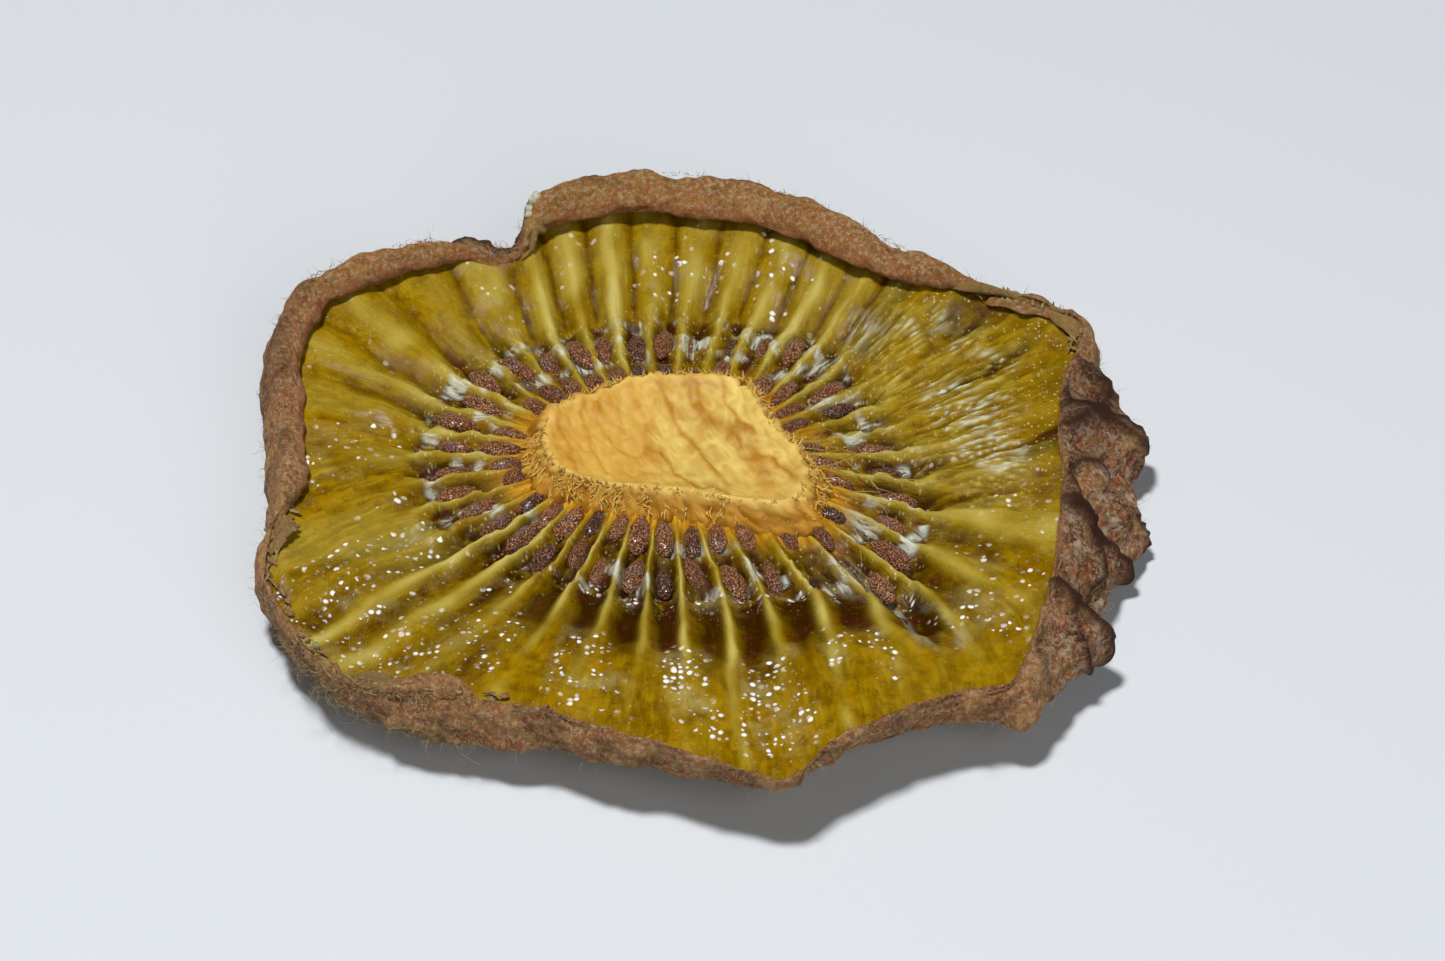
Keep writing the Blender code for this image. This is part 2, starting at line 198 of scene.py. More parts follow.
# Core wall: drop below the torn edge, outward swell as a share of the outline
CORE_WALL = ((0.1, 0.02), (0.3, 0.04), (0.5, 0.06), (0.7, 0.085), (0.9, 0.115), (1.1, 0.15), (1.6, 0.17))
# Core below its wall: height, share of the outline
CORE_FOOT = ((1.2, 0.95), (0.3, 0.9), (0.06, 0.86), (0.05, 0.5), (0.06, 0.1))
TORN_EDGE_RISE = 0.15  # of the core's edge above its top

STRIP_THICKNESS = 0.14
STRIP_GRID = (64, 14)
CRUMBS = 150
CRUMB_HALF_SIZES = ((0.15, 0.5), (0.06, 0.15), (0.03, 0.07))
TUFT_LUMP = 0.26  # half size of a lump of the bleached tuft
FRINGE_HAIRS = 1500
FRINGE_DEPTH = 0.95  # how far down the core's wall its fringe grows
THREADS = 16

FLESH_LOWEST = 0.9  # height of the lowest dent in the flesh's upper side
ROUNDING = 0.35  # outward bulge of the flesh between its upper side and its underside

ROOM = 0.1  # how far the skin's pieces may stand outside the solid's box
HAIR_ROOM = 0.3  # and how far hairs and fibres may

# ---------------------------------------------------------------- fineness of the pieces

FLESH_COLUMNS = CHAMBERS * 18
BED_RINGS = 34
FLESH_RINGS = 66
UNDERSIDE_RINGS = 22
CORE_COLUMNS = 288
CORE_RINGS = 64
PEEL_COLUMNS = 720
PEEL_STEPS = 9  # points to each stretch of the peel's section
NOISE_WAVES = 30  # plane waves that make up the lumpy noise
FACET_WAVES = 5  # triangle waves that make up the crumpled facets


def around(rows, column, bearing, soften=1.6):
    """A column of a table at these bearings, with its corners rounded over a few degrees."""
    bearings = [row[0] for row in rows]
    values = [row[column] for row in rows]
    samples = [
        np.interp(bearing + shift * soften, bearings, values, period=360)
        for shift in (-1.5, -0.75, 0, 0.75, 1.5)
    ]
    return np.average(samples, axis=0, weights=(1, 2, 3, 2, 1))


def ease(share):
    """0 to 1 with a smooth start and end."""
    share = np.clip(share, 0, 1)
    return share * share * (3 - 2 * share)


def ramp(value, start, end):
    """0 on the start's side and 1 on the end's, with a smooth passage between them."""
    return ease((value - start) / (end - start))


def degrees_off(bearing, middle):
    return np.abs((np.asarray(bearing) - middle + 180) % 360 - 180)


def near(bearing, middle, reach):
    """1 at the middle bearing, easing to 0 at that many degrees to either side."""
    return ramp(degrees_off(bearing, middle), reach, 0)


def near_any(bearing, places):
    """The same for several places, added up."""
    return sum(near(bearing, *place) for place in places)


def between(bearing, start, end, fade):
    """1 from the start bearing to the end one, easing to 0 over that many degrees outside them."""
    half = (end - start) / 2
    return ramp(degrees_off(bearing, (start + end) / 2), half + fade, half)


def blend(parts, plain=0.0, **amounts):
    """An amount at each bearing: the plain one everywhere, and that much more in each part that is named."""
    return plain + sum(amount * parts[name] for name, amount in amounts.items())


def highest(*layers):
    """The highest of several values at each point."""
    return np.max(np.broadcast_arrays(*layers), axis=0)


def stacked(*columns):
    """Points or values as rows, from one column or number for each coordinate."""
    return np.stack(np.broadcast_arrays(*columns), axis=-1)


def polar(bearing, radius, height):
    """Points at a bearing, a radius and a height."""
    angle = np.radians(bearing)
    return stacked(radius * np.cos(angle), radius * np.sin(angle), height)


def unit(vectors):
    """Vectors of length 1 in the same directions."""
    return vectors / np.linalg.norm(vectors, axis=-1, keepdims=True)


def chamber_bearing(chamber):
    """Bearing at a place counted in chambers round the slice: whole numbers are ribs."""
    angle = 2 * math.pi * np.asarray(chamber) / CHAMBERS
    return np.degrees(angle) + CROWDING * np.sin(2 * angle)


def core_edge(bearing):
    """Plan position of the core's outline where the rib of this rim bearing starts."""
    angle = np.radians(bearing)
    turned = np.arctan2(CORE_HALF_WIDTH * np.sin(angle), CORE_HALF_LENGTH * np.cos(angle))
    radius = around(CORE, 1, np.degrees(turned), soften=3)
    return radius * np.cos(turned), radius * np.sin(turned)


def bed_share(bearing):
    """Share of a rib's length that crosses the seed bed."""
    core_radius = np.hypot(*core_edge(bearing))
    return (around(BED, 1, bearing, soften=3) - core_radius) / (around(RIM, 1, bearing) - core_radius)


def flesh_plan(bearing, along):
    """Plan position on the flesh: along runs from 0 at the core's foot to 1 at the rim."""
    core_x, core_y = core_edge(bearing)
    angle = np.radians(bearing)
    rim_radius = around(RIM, 1, bearing)
    x = core_x + (rim_radius * np.cos(angle) - core_x) * along
    y = core_y + (rim_radius * np.sin(angle) - core_y) * along
    return x, y


def flesh_height(bearing, chamber, along, widening=0.0, depth=1.0):
    """Height of the flesh, and how much of a rib it is there. Widening is a share of a chamber."""
    angle = np.radians(bearing)
    bed = bed_share(bearing)
    in_bed = np.clip(along / bed, 0, 1)
    in_flesh = np.clip((along - bed) / (1 - bed), 0, 1)
    back = ramp(np.sin(angle), -0.5, 0.5)
    from_rib = np.abs(chamber - np.round(chamber))
    width = RIB_WIDTH + (BACK_RIB_WIDTH - RIB_WIDTH) * back + widening
    rib = np.exp(-((from_rib / width) ** 2))

    rise = in_flesh ** (FRONT_RISE + (BACK_RISE - FRONT_RISE) * back)
    crest = RIB_HEIGHT + (around(RIM, 2, bearing) - RIB_HEIGHT) * rise
    deepest = BED_SAG + (BACK_SAG - BED_SAG) * back
    sag = FOOT_SAG + (deepest - FOOT_SAG) * in_bed + (RIM_SAG - deepest) * ramp(in_flesh, 0, SAG_REACH)
    return crest - sag * depth * (1 - rib) * ramp(in_flesh, 1, 1 - RIM_FADE), rib


def crumple(bearing, share):
    """Unevenness of the peel's wall, between about -1 and 1, from a few waves that run round it."""
    draw = random.Random(5)
    angle = np.radians(bearing)
    waves = [
        np.sin(draw.randint(13, 37) * angle + draw.uniform(0, 2 * math.pi) + draw.uniform(-5, 5) * share)
        for _ in range(CRUMPLE_WAVES)
    ]
    return sum(waves) * 2 / CRUMPLE_WAVES


def peel_section(bearing):
    """Radius and height of the peel's points, from the flesh's edge over the lip to the hem and in below."""
    radius, height = around(RIM, 1, bearing), around(RIM, 2, bearing)
    roll, crest = around(ROLL, 1, bearing), around(ROLL, 2, bearing)
    reach, hem_height = around(HEM, 1, bearing), around(HEM, 2, bearing)
    lip = [
        np.array([radius + out + out_by_roll * roll, height + up + up_by_crest * crest])
        for out, out_by_roll, up, up_by_crest in LIP
    ]
    top = lip[-1]
    hem = np.array([radius + reach, hem_height])
    wall = hem - top
    length = np.hypot(*wall)
    outward = np.array([-wall[1], wall[0]]) / length
    flare = ramp(reach, SKIRT_FROM, SKIRT_FULL)
    roughness = PEEL_CRUMPLE + (SKIRT_CRUMPLE - PEEL_CRUMPLE) * flare

    def on_wall(share):
        bulge = PEEL_BULGE * length + roughness * crumple(bearing, share)
        return top + wall * share + outward * bulge * 4 * share * (1 - share)

    hem_inside = hem - outward * PEEL_THICKNESS
    root = np.array([
        np.minimum(radius - 0.9, hem_inside[0] - 0.4),
        np.maximum(height - FLESH_THICKNESS, hem_inside[1] + 0.05),
    ])
    halfway = (hem_inside + root) / 2
    behind_wall = on_wall(0.75) - outward * PEEL_THICKNESS
    hanging = ramp(length, HANGING_FROM, HANGING_FULL)
    underneath = [hem, hem_inside, halfway + (behind_wall - halfway) * hanging, root]
    return lip + [on_wall(share) for share in WALL_SHARES] + underneath


# ---------------------------------------------------------------- tools


def coordinates(mesh):
    """The mesh's points as rows, in mm."""
    flat = np.empty(len(mesh.vertices) * 3)
    mesh.vertices.foreach_get("co", flat)
    return flat.reshape(-1, 3) / MM


def set_coordinates(mesh, points):
    mesh.vertices.foreach_set("co", (points * MM).ravel())
    mesh.update()


def mesh_of(name, shape):
    """A mesh made of a bmesh, which ends there."""
    mesh = bpy.data.meshes.new(name)
    shape.to_mesh(mesh)
    shape.free()
    return mesh


def push_out(mesh, distances):
    """Moves each point along its normal."""
    normals = np.empty(len(mesh.vertices) * 3)
    mesh.vertices.foreach_get("normal", normals)
    set_coordinates(mesh, coordinates(mesh) + normals.reshape(-1, 3) * distances[:, None])


def paint(mesh, name, *channels):
    """Stores up to four values between 0 and 1 for each point, for the material to read."""
    layer = mesh.color_attributes.new(name, "FLOAT_COLOR", "POINT")
    values = np.zeros((len(mesh.vertices), 4))
    for index, channel in enumerate(channels):
        values[:, index] = channel
    layer.data.foreach_set("color", values.ravel())


def mark(mesh, name, places):
    """Stores a place in mm for each point, on which the material lays its patterns."""
    layer = mesh.attributes.new(name, "FLOAT_VECTOR", "POINT")
    layer.data.foreach_set("vector", (places * MM).ravel())


def lumps(points, size, seed):
    """Smooth noise, mostly between -1 and 1, at points in mm: plane waves in lumps of about that size."""
    draw = np.random.default_rng(seed)
    waves = draw.normal(0, 2.3 / size, (3, NOISE_WAVES))
    phases = draw.uniform(0, 2 * math.pi, NOISE_WAVES)
    return np.sin(points @ waves + phases).sum(axis=-1) * 0.45 * math.sqrt(2 / NOISE_WAVES)


def ridges(points, size, seed):
    """Noise between 0 and 1 with sharp crests about that far apart."""
    return np.clip(1 - 2 * np.abs(lumps(points, size, seed)), 0, 1)


def facets(points, size, seed):
    """Flat facets between sharp folds, mostly between -1 and 1: triangle waves about that long."""
    draw = np.random.default_rng(seed)
    waves = draw.normal(0, 1, (3, FACET_WAVES))
    waves /= np.linalg.norm(waves, axis=0) * size * draw.uniform(0.7, 1.4, FACET_WAVES)
    phase = points @ waves + draw.uniform(0, 1, FACET_WAVES)
    return (4 * np.abs(phase - np.rint(phase)) - 1).sum(axis=-1) / math.sqrt(FACET_WAVES)


def hold_in(points, room):
    """Points in mm, drawn back so that they stand little further than that outside the solid's box."""
    low, high = np.array(CAD_BOX) / MM
    over = np.maximum(points - high - [room, room, room / 4], 0)
    over += np.minimum(points - low + [room, room, 0], 0)
    held = points - 0.9 * over
    held[..., 2] = np.maximum(held[..., 2], 0)
    return held


def in_scene(name, data):
    thing = bpy.data.objects.new(name, data)
    bpy.context.scene.collection.objects.link(thing)
    return thing


def new_piece(name, mesh, material):
    """An object of the slice, riding on its one body."""
    mesh.materials.append(material)
    mesh.polygons.foreach_set("use_smooth", [True] * len(mesh.polygons))
    piece = in_scene(name, mesh)
    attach(piece, "root")
    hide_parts("kiwi_slice")
    return piece


def woven(name, rings, tube):
    """A closed skin laid on rings of points, with the ring and the column of each of its points.

    A tube's last ring joins its first one. Otherwise the first and the last ring close to a point.
    """
    if not tube:
        top, bottom = (0 * rings[:1] + rings[end].mean(axis=0) for end in (0, -1))
        rings = np.concatenate([top, rings, bottom])
    count, columns = rings.shape[:2]
    rows = count if tube else count - 1
    shape = bmesh.new()
    bmesh.ops.create_grid(shape, x_segments=columns, y_segments=rows, size=1)
    row, column = np.divmod(np.arange((rows + 1) * (columns + 1)), columns + 1)
    joined_row = row % rows if tube else row
    joined_column = column % columns
    if not tube:
        joined_column[(row == 0) | (row == rows)] = 0
    target = joined_row * (columns + 1) + joined_column
    shape.verts.ensure_lookup_table()
    moved = np.flatnonzero(target != np.arange(len(target)))
    bmesh.ops.weld_verts(shape, targetmap={shape.verts[old]: shape.verts[target[old]] for old in moved})
    kept = target == np.arange(len(target))
    row, column = row[kept], column[kept]
    for vertex, point in zip(shape.verts, rings[row, column] * MM):
        vertex.co = point
    bmesh.ops.recalc_face_normals(shape, faces=shape.faces)
    return mesh_of(name, shape), row if tube else np.clip(row - 1, 0, count - 3), column


def template_of(name, shape):
    """A small mesh to repeat, made of a bmesh, and its points in the bmesh's own units."""
    mesh = mesh_of(name, shape)
    return mesh, coordinates(mesh) * MM


def small_shape(name, create, **sizes):
    """A small mesh to repeat, from one of bmesh's own shapes, and its points."""
    shape = bmesh.new()
    create(shape, **sizes)
    return template_of(name, shape)


def repeated(name, template, places):
    """One mesh of many copies of a small shape: places has a row of points for each copy, in mm."""
    shape = bmesh.new()
    for _ in places:
        shape.from_mesh(template)
    mesh = mesh_of(name, shape)
    set_coordinates(mesh, places.reshape(-1, 3))
    return mesh


# ---------------------------------------------------------------- flesh


def hollows(height):
    """How far each point of a closed band of rings lies below the points round it, in mm."""
    level = height
    for _ in range(6):
        level = (level + np.roll(level, 1, axis=1) + np.roll(level, -1, axis=1)) / 3
        level[1:-1] = (level[1:-1] + level[2:] + level[:-2]) / 3
    return level - height


def flesh_grid():
    """The flesh's upper side: rings of points from the core's foot to the rim, and where each point lies."""
    chamber = np.arange(FLESH_COLUMNS) * CHAMBERS / FLESH_COLUMNS
    bearing = chamber_bearing(chamber)
    parts = {name: between(bearing, *reach) for name, reach in PARTS.items()}
    bed = bed_share(bearing)
    across_bed = np.linspace(0, 1, BED_RINGS)[:, None]
    across_flesh = np.linspace(0, 1, FLESH_RINGS + 1)[1:, None]
    along = np.concatenate([bed * across_bed, bed + (1 - bed) * across_flesh])
    in_bed = np.clip(along / bed, 0, 1)
    in_flesh = np.clip((along - bed) / (1 - bed), 0, 1)
    outside = ramp(in_flesh, 0, 0.2)
    x, y = flesh_plan(bearing, along)
    flat = stacked(x, y, 0)

    # The flesh's fibres run along the ribs: a pattern laid on run is drawn out that way
    lean = around(LEAN, 1, bearing, soften=3) * in_flesh
    run = polar(bearing - lean, 15, 3.2 * along)
    place = chamber - lean * CHAMBERS / 360
    place = place + (0.13 * lumps(flat, 4.5, 1) + 0.04 * lumps(flat, 1.5, 2)) * ramp(in_bed, 0, 0.5)
    torn = near(bearing, *TEAR) * ramp(in_bed, 0.2, 1.2) * ramp(in_flesh, 0.7, 0.5)
    partly = blend(parts, lower_left=0.15, lower_right=0.3)
    flattened = highest(parts["left"], parts["right"], partly) * outside
    draw = np.random.default_rng(11)
    depth = draw.uniform(0.65, 1.3, CHAMBERS)[np.floor(place).astype(int) % CHAMBERS]
    size = draw.uniform(0.35, 1.4, CHAMBERS)[np.rint(place).astype(int) % CHAMBERS]
    depth = depth * (1 - 0.6 * flattened) + 0.35 * torn
    height, rib = flesh_height(bearing, place, along, 0.1 * (1 - parts["back"]) * outside, depth)

    from_rib = np.abs(place - np.rint(place))
    return SimpleNamespace(
        bearing=bearing, bed=bed, parts=parts, x=x, y=y, flat=flat, run=run, height=height,
        in_bed=in_bed, in_flesh=in_flesh, outside=outside, torn=torn, flattened=flattened,
        rib=rib, rib_size=size, from_rib=from_rib, past_rib=place - np.floor(place),
        pillow=(1 - (2 * from_rib) ** 2) ** 0.7,
        # the swollen front half of the flesh, and the sunken pockets between it and the bed
        bulge=parts["front"] * ramp(in_flesh, 0.28, 0.48) * ramp(in_flesh, 1, 0.8),
        pocket=parts["front"] * ramp(in_flesh, 0, 0.05) * ramp(in_flesh, 0.66, 0.21),
        inside_rim=1 - ramp(in_flesh, 0.6, 0.9),
        fine_wrinkles=ridges(run + 0.15 * flat, 0.45, 14),
        silk=ridges(run * [1, 1, 0.35] + 0.1 * flat, 0.4, 53),
    )


def flesh_relief(at):
    """Unevenness of the flesh in mm that drying left on its ribs and chambers."""
    parts, flat, run, rib, in_bed, in_flesh = at.parts, at.flat, at.run, at.rib, at.in_bed, at.in_flesh
    front, right = parts["front"], parts["right"]
    late_bed = ramp(in_bed, 0.3, 0.6) * (1 - at.outside)
    beyond_bed = at.outside * sum((
        blend(parts, back=0.30, middle_back=-0.16, upper_left=0.20) * (at.pillow - 0.7),  # plump columns
        0.12 * parts["middle_back"] * lumps(flat + 0.4 * run, 1.3, 61),  # dents in them
        blend(parts, 0.06, left=0.14, lower_left=0.14) * lumps(flat + 0.3 * run, 3.0, 9),  # broad folds
        blend(parts, 0.04, left=0.06, right=0.12) * (ridges(run, 0.95, 12) - 0.4),  # wrinkles
        blend(parts, 0.02, left=0.04, right=0.06) * (at.fine_wrinkles - 0.4) * (0.4 + 0.6 * at.inside_rim),
        0.10 * right * (at.silk - 0.4) * at.inside_rim,  # silky strands
        0.08 * lumps(flat, 2.6, 3) + blend(parts, 0.06, front=-0.042) * lumps(flat, 1.3, 13),
    ))
    return sum((
        beyond_bed,
        0.24 * at.bulge * (4 * at.from_rib * (1 - at.from_rib)) ** 0.7,  # swollen between the ribs
        0.06 * front * np.exp(-((at.from_rib / 0.07) ** 2)) * ramp(in_bed, 0, 0.4),  # sharp crests
        0.30 * at.pocket * (0.45 - at.past_rib) * ramp(at.past_rib, 0, 0.1) * ramp(at.past_rib, 1, 0.9),
        (0.03 + 0.04 * at.bulge) * lumps(flat, 0.7, 15) * ramp(in_bed, 0.3, 0.7),  # juice cells
        0.15 * (ridges(run, 0.5, 19) - 0.5) * (1 - in_bed) * ramp(in_bed, 0, 0.1),
        0.22 * (ridges(flat + 0.5 * run, 1.1, 39) - 0.4) * late_bed,  # shrunken membranes
        0.10 * lumps(flat, 0.5, 43) * late_bed,
        # lip of the bed
        0.14 * front * np.exp(-(((in_flesh - 0.03) / 0.03) ** 2)) * (1 - rib) * (in_bed > 0.99),
        at.torn * (1 - rib) * (0.3 * ridges(run, 0.6, 29) - 0.2),
        0.14 * lumps(run + 0.3 * flat, 0.8, 67) * rib * (1 - at.outside) * in_bed,  # wavy membranes
        0.55 * ramp(in_bed, 0.2, 0) * (0.5 + 0.8 * ridges(run + 0.2 * flat, 0.4, 49)),  # fibres by the core
        0.16 * (at.rib_size - 1) * rib * (1 - 0.5 * at.flattened),
    )) * ramp(in_flesh, 1, 0.9)


def flesh_looks(at):
    """How pale (membrane and painted highlight), how dark (juice and painted shade), how silvery (film and
    painted sheen) and how amber each point of the flesh is.
    """
    parts, flat, run, rib, in_bed, in_flesh = at.parts, at.flat, at.run, at.rib, at.in_bed, at.in_flesh
    front, back, right, outside = parts["front"], parts["back"], parts["right"], at.outside
    uneven = np.clip(0.8 + 0.55 * lumps(flat, 1.6, 21), 0.2, 1.2)
    speckled = np.clip(0.6 + 0.6 * lumps(flat, 0.9, 71), 0.05, 1.1)
    streaks = ridges(run, 0.5, 22)
    hollow = np.clip(hollows(at.height) / 0.09, -1, 1)

    # Pale membranes on the crests of the ribs and in soft clouds, and painted highlights on the silky
    # wrinkles and the tops of the plump columns
    thin = rib ** (2 + 4 * front + 2 * (in_bed < 1) - 0.8 * parts["lower_right"] * outside)
    fade = 1 - 0.2 * in_flesh - 0.35 * front * ramp(in_flesh, 0.15, 0.65) - 0.6 * at.flattened
    fade += blend(parts, lower_right=0.35, lower_left=0.15, upper_left=-0.35) * outside
    cloudy = (blend(parts, left=0.3, lower_left=0.09) + 0.105 * front * (in_flesh > 0.4)) * outside
    pale = highest(
        thin * (0.25 + 0.6 * at.rib_size) * fade * ramp(in_bed, 0.15, 0.55) * uneven,
        cloudy * ramp(lumps(run, 1.9, 33), -0.1, 0.8),
        0.7 * right * np.maximum(at.silk**2, 0.5 * at.fine_wrinkles**2) * outside * uneven * at.inside_rim,
        blend(parts, back=0.5, upper_left=0.1) * at.pillow**2 * uneven * outside,
    )
    # Painted light on every crest of the surface
    pale = pale + 0.15 * np.maximum(-hollow, 0) * (in_bed > 0.2)

    # Dark juice and painted shade: a juice stain, and darkness in the pits of the bed, at the foot of the
    # flesh, in creases, valleys and pockets that is painted shade as well as juice
    pit = (1 - rib) * ramp(in_bed, 0.2, 0.5) * ramp(in_flesh, 0.08, 0)
    foot = ramp(in_flesh, 0.34, 0.04) * ramp(in_bed, 0.9, 1) * (1 - rib)
    at_foot = blend(parts, upper_left=0.7, left=0.3, lower_left=0.8, lower_right=0.7, right=0.2)
    stained = near(at.bearing, *STAIN) * ramp(in_flesh, 0.22, 0.02) * ramp(in_bed, 0.4, 0.7)
    valleys = blend(parts, lower_left=1, lower_right=1) * (1 - rib) ** 2 * (1 - 0.7 * in_flesh)
    shade = ramp(at.past_rib, 0.1, 0.6) * ramp(at.past_rib, 1, 0.9)
    juice_and_shade = highest(
        pit * (0.25 + 0.8 * speckled),
        at_foot * foot * uneven,
        back * (2 * at.from_rib) ** 6 * (0.5 - 0.3 * in_flesh) * outside,
        0.85 * stained * speckled,
        0.85 * (valleys + right * ramp(lumps(run, 1.5, 31), 0.35, 0.85)) * outside * uneven,
        at.pocket * (0.25 + 0.75 * shade) * (0.8 + 0.25 * uneven),
    )
    dull = blend(parts, lower_left=1, right=0.9, lower_right=0.6)
    dull = dull * (0.5 + 0.5 * ramp(lumps(run, 1.8, 59), -0.5, 0.5))
    juice_and_shade = juice_and_shade + 0.14 * dull * outside * (1 - 0.6 * rib)
    # Painted shade in the tear and in every hollow of the surface
    juice_and_shade = np.maximum(juice_and_shade, at.torn * (1 - rib)) + 0.35 * np.maximum(hollow, 0)

    # Pale dried film with a painted silvery sheen: between the seeds, in the tear and on the silky strands
    sheen_film = ramp(lumps(flat, 1.1, 23), 0.2, 0.4) * (0.1 + 0.9 * streaks)
    shimmer = 0.9 * right * at.silk**3 * outside * at.inside_rim * ramp(lumps(flat, 2.2, 57), -0.1, 0.4)
    silver_sheen = highest(
        sheen_film * ramp(in_bed, 0.3, 0.6) * ramp(in_flesh, 0.05, 0),
        0.6 * at.torn * streaks,
        shimmer,
        0.7 * near(at.bearing, *SILVERY_RENT) * ramp(np.abs(in_flesh - 0.3), 0.3, 0) * streaks,
    )
    amber_end = 0.4 + 0.35 * np.cos(np.radians(at.bearing)) ** 2
    return stacked(np.clip(pale, 0, 1), np.clip(juice_and_shade, 0, 1), silver_sheen, 1 - ramp(in_bed, 0.08, amber_end))


def flesh_wetness(at):
    """How beaded with syrup, how grainy, how fibrous and how much painted glint and sheen each point of the
    flesh bears.
    """
    parts, in_bed, outside = at.parts, at.in_bed, at.outside
    patchy = ramp(lumps(at.run, 1.4, 41), -0.35, 0.15)
    wet_lip = parts["front"] * np.exp(-((at.in_flesh / 0.06) ** 2)) * ramp(in_bed, 0.9, 1)
    among_seeds = (1 - outside) * ramp(in_bed, 0.15, 0.55)
    drops = blend(parts, 0.1, left=0.6, lower_left=0.8, back=0.3, upper_left=-0.05, right=0.2) * outside
    drops = highest(np.maximum(drops * (1 - at.pocket), at.bulge) * patchy, wet_lip, 0.5 * among_seeds)
    grain = blend(parts, 0.12, right=0.15) + 0.45 * parts["right"] * (1 - at.inside_rim)
    grain = grain - 0.08 * (at.pocket + at.bulge) + 0.4 * among_seeds
    fibres = blend(parts, 0.5, lower_right=0.2) + 0.4 * parts["right"] * at.inside_rim - 0.1 * at.pocket
    # Where glints and sheen are painted: most on the swollen front and along the wet lip of the bed
    glint_cover = blend(
        parts, left=0.35, lower_left=0.5, back=0.18, middle_back=0.2, upper_left=0.15, right=0.15,
        lower_right=0.3,
    )
    glint_cover = np.maximum(np.maximum(0.9 * at.bulge, glint_cover * outside) * patchy, 0.8 * wet_lip)
    return np.clip(stacked(drops, grain, fibres, glint_cover), 0, 1)


def underside_rings(at):
    """Rings from the peel's root in to the middle of the slice's ribbed underside."""
    rib, foot_rib = at.rib[BED_RINGS], at.rib[4]
    root_radius, root_height = peel_section(at.bearing)[-1]
    root = polar(at.bearing, root_radius, 0)
    rest, core = (stacked(*plan, 0) for plan in (flesh_plan(at.bearing, at.bed * 0.6), core_edge(at.bearing)))
    rings = []
    for share in np.linspace(0.96, 0, UNDERSIDE_RINGS):
        ribbed = 0.16 * rib * ramp(share, 0, 0.2)
        sunk_in = 0.22 * ramp(share, 0.25, 0.05) * (1 - rib)
        lift = root_height * share**UNDERSIDE_CURVE - ribbed * share + sunk_in
        rings.append(rest + (root - rest) * share + stacked(0, 0, lift))
    for share in (0.8, 0.4, 0.0):
        lift = 0.25 * (1 - foot_rib) * (1 - share) + 0.1
        rings.append(core + (rest - core) * share + stacked(0, 0, lift))
    rings.append(rings[-1] * [0.5, 0.5, 0] + [0, 0, 0.5])
    return np.array(rings)


def make_flesh(material):
    """The flesh: one closed skin from under the core over the rim to the middle of the underside."""
    at = flesh_grid()
    at.height = np.maximum(at.height + flesh_relief(at), FLESH_LOWEST)
    upper = stacked(at.x, at.y, at.height)
    under_core = upper[:1] * [0.6, 0.6, 0] + [0, 0, 2.9]
    rim_below = polar(at.bearing, *peel_section(at.bearing)[-1])
    rounded = (upper[-1] + rim_below) / 2 + polar(at.bearing, ROUNDING, 0)
    below = underside_rings(at)
    mesh, ring, column = woven(
        "flesh", np.concatenate([under_core, upper, rounded[None], rim_below[None], below]), tube=False)

    plain = np.zeros((1, FLESH_COLUMNS, 4))
    looks_below = np.repeat(stacked(0.6 * at.rib[BED_RINGS], 0.15, 0, 0)[None], len(below), axis=0)
    looks_below[-5:, :, 3] = 0.8
    looks = np.concatenate([plain, flesh_looks(at), plain, plain, looks_below])
    wet_below = np.repeat(plain + [0.3, 0.4, 0.4, 0], len(below) + 2, axis=0)
    wetness = np.concatenate([plain, flesh_wetness(at), wet_below])
    runs = np.concatenate([at.run[:1], at.run, np.repeat(at.run[-1:], len(below) + 2, axis=0)])
    paint(mesh, "looks", *looks[ring, column].T)
    paint(mesh, "wetness", *wetness[ring, column].T)
    mark(mesh, "along_ribs", runs[ring, column])
    return new_piece("flesh", mesh, material)


# ---------------------------------------------------------------- core


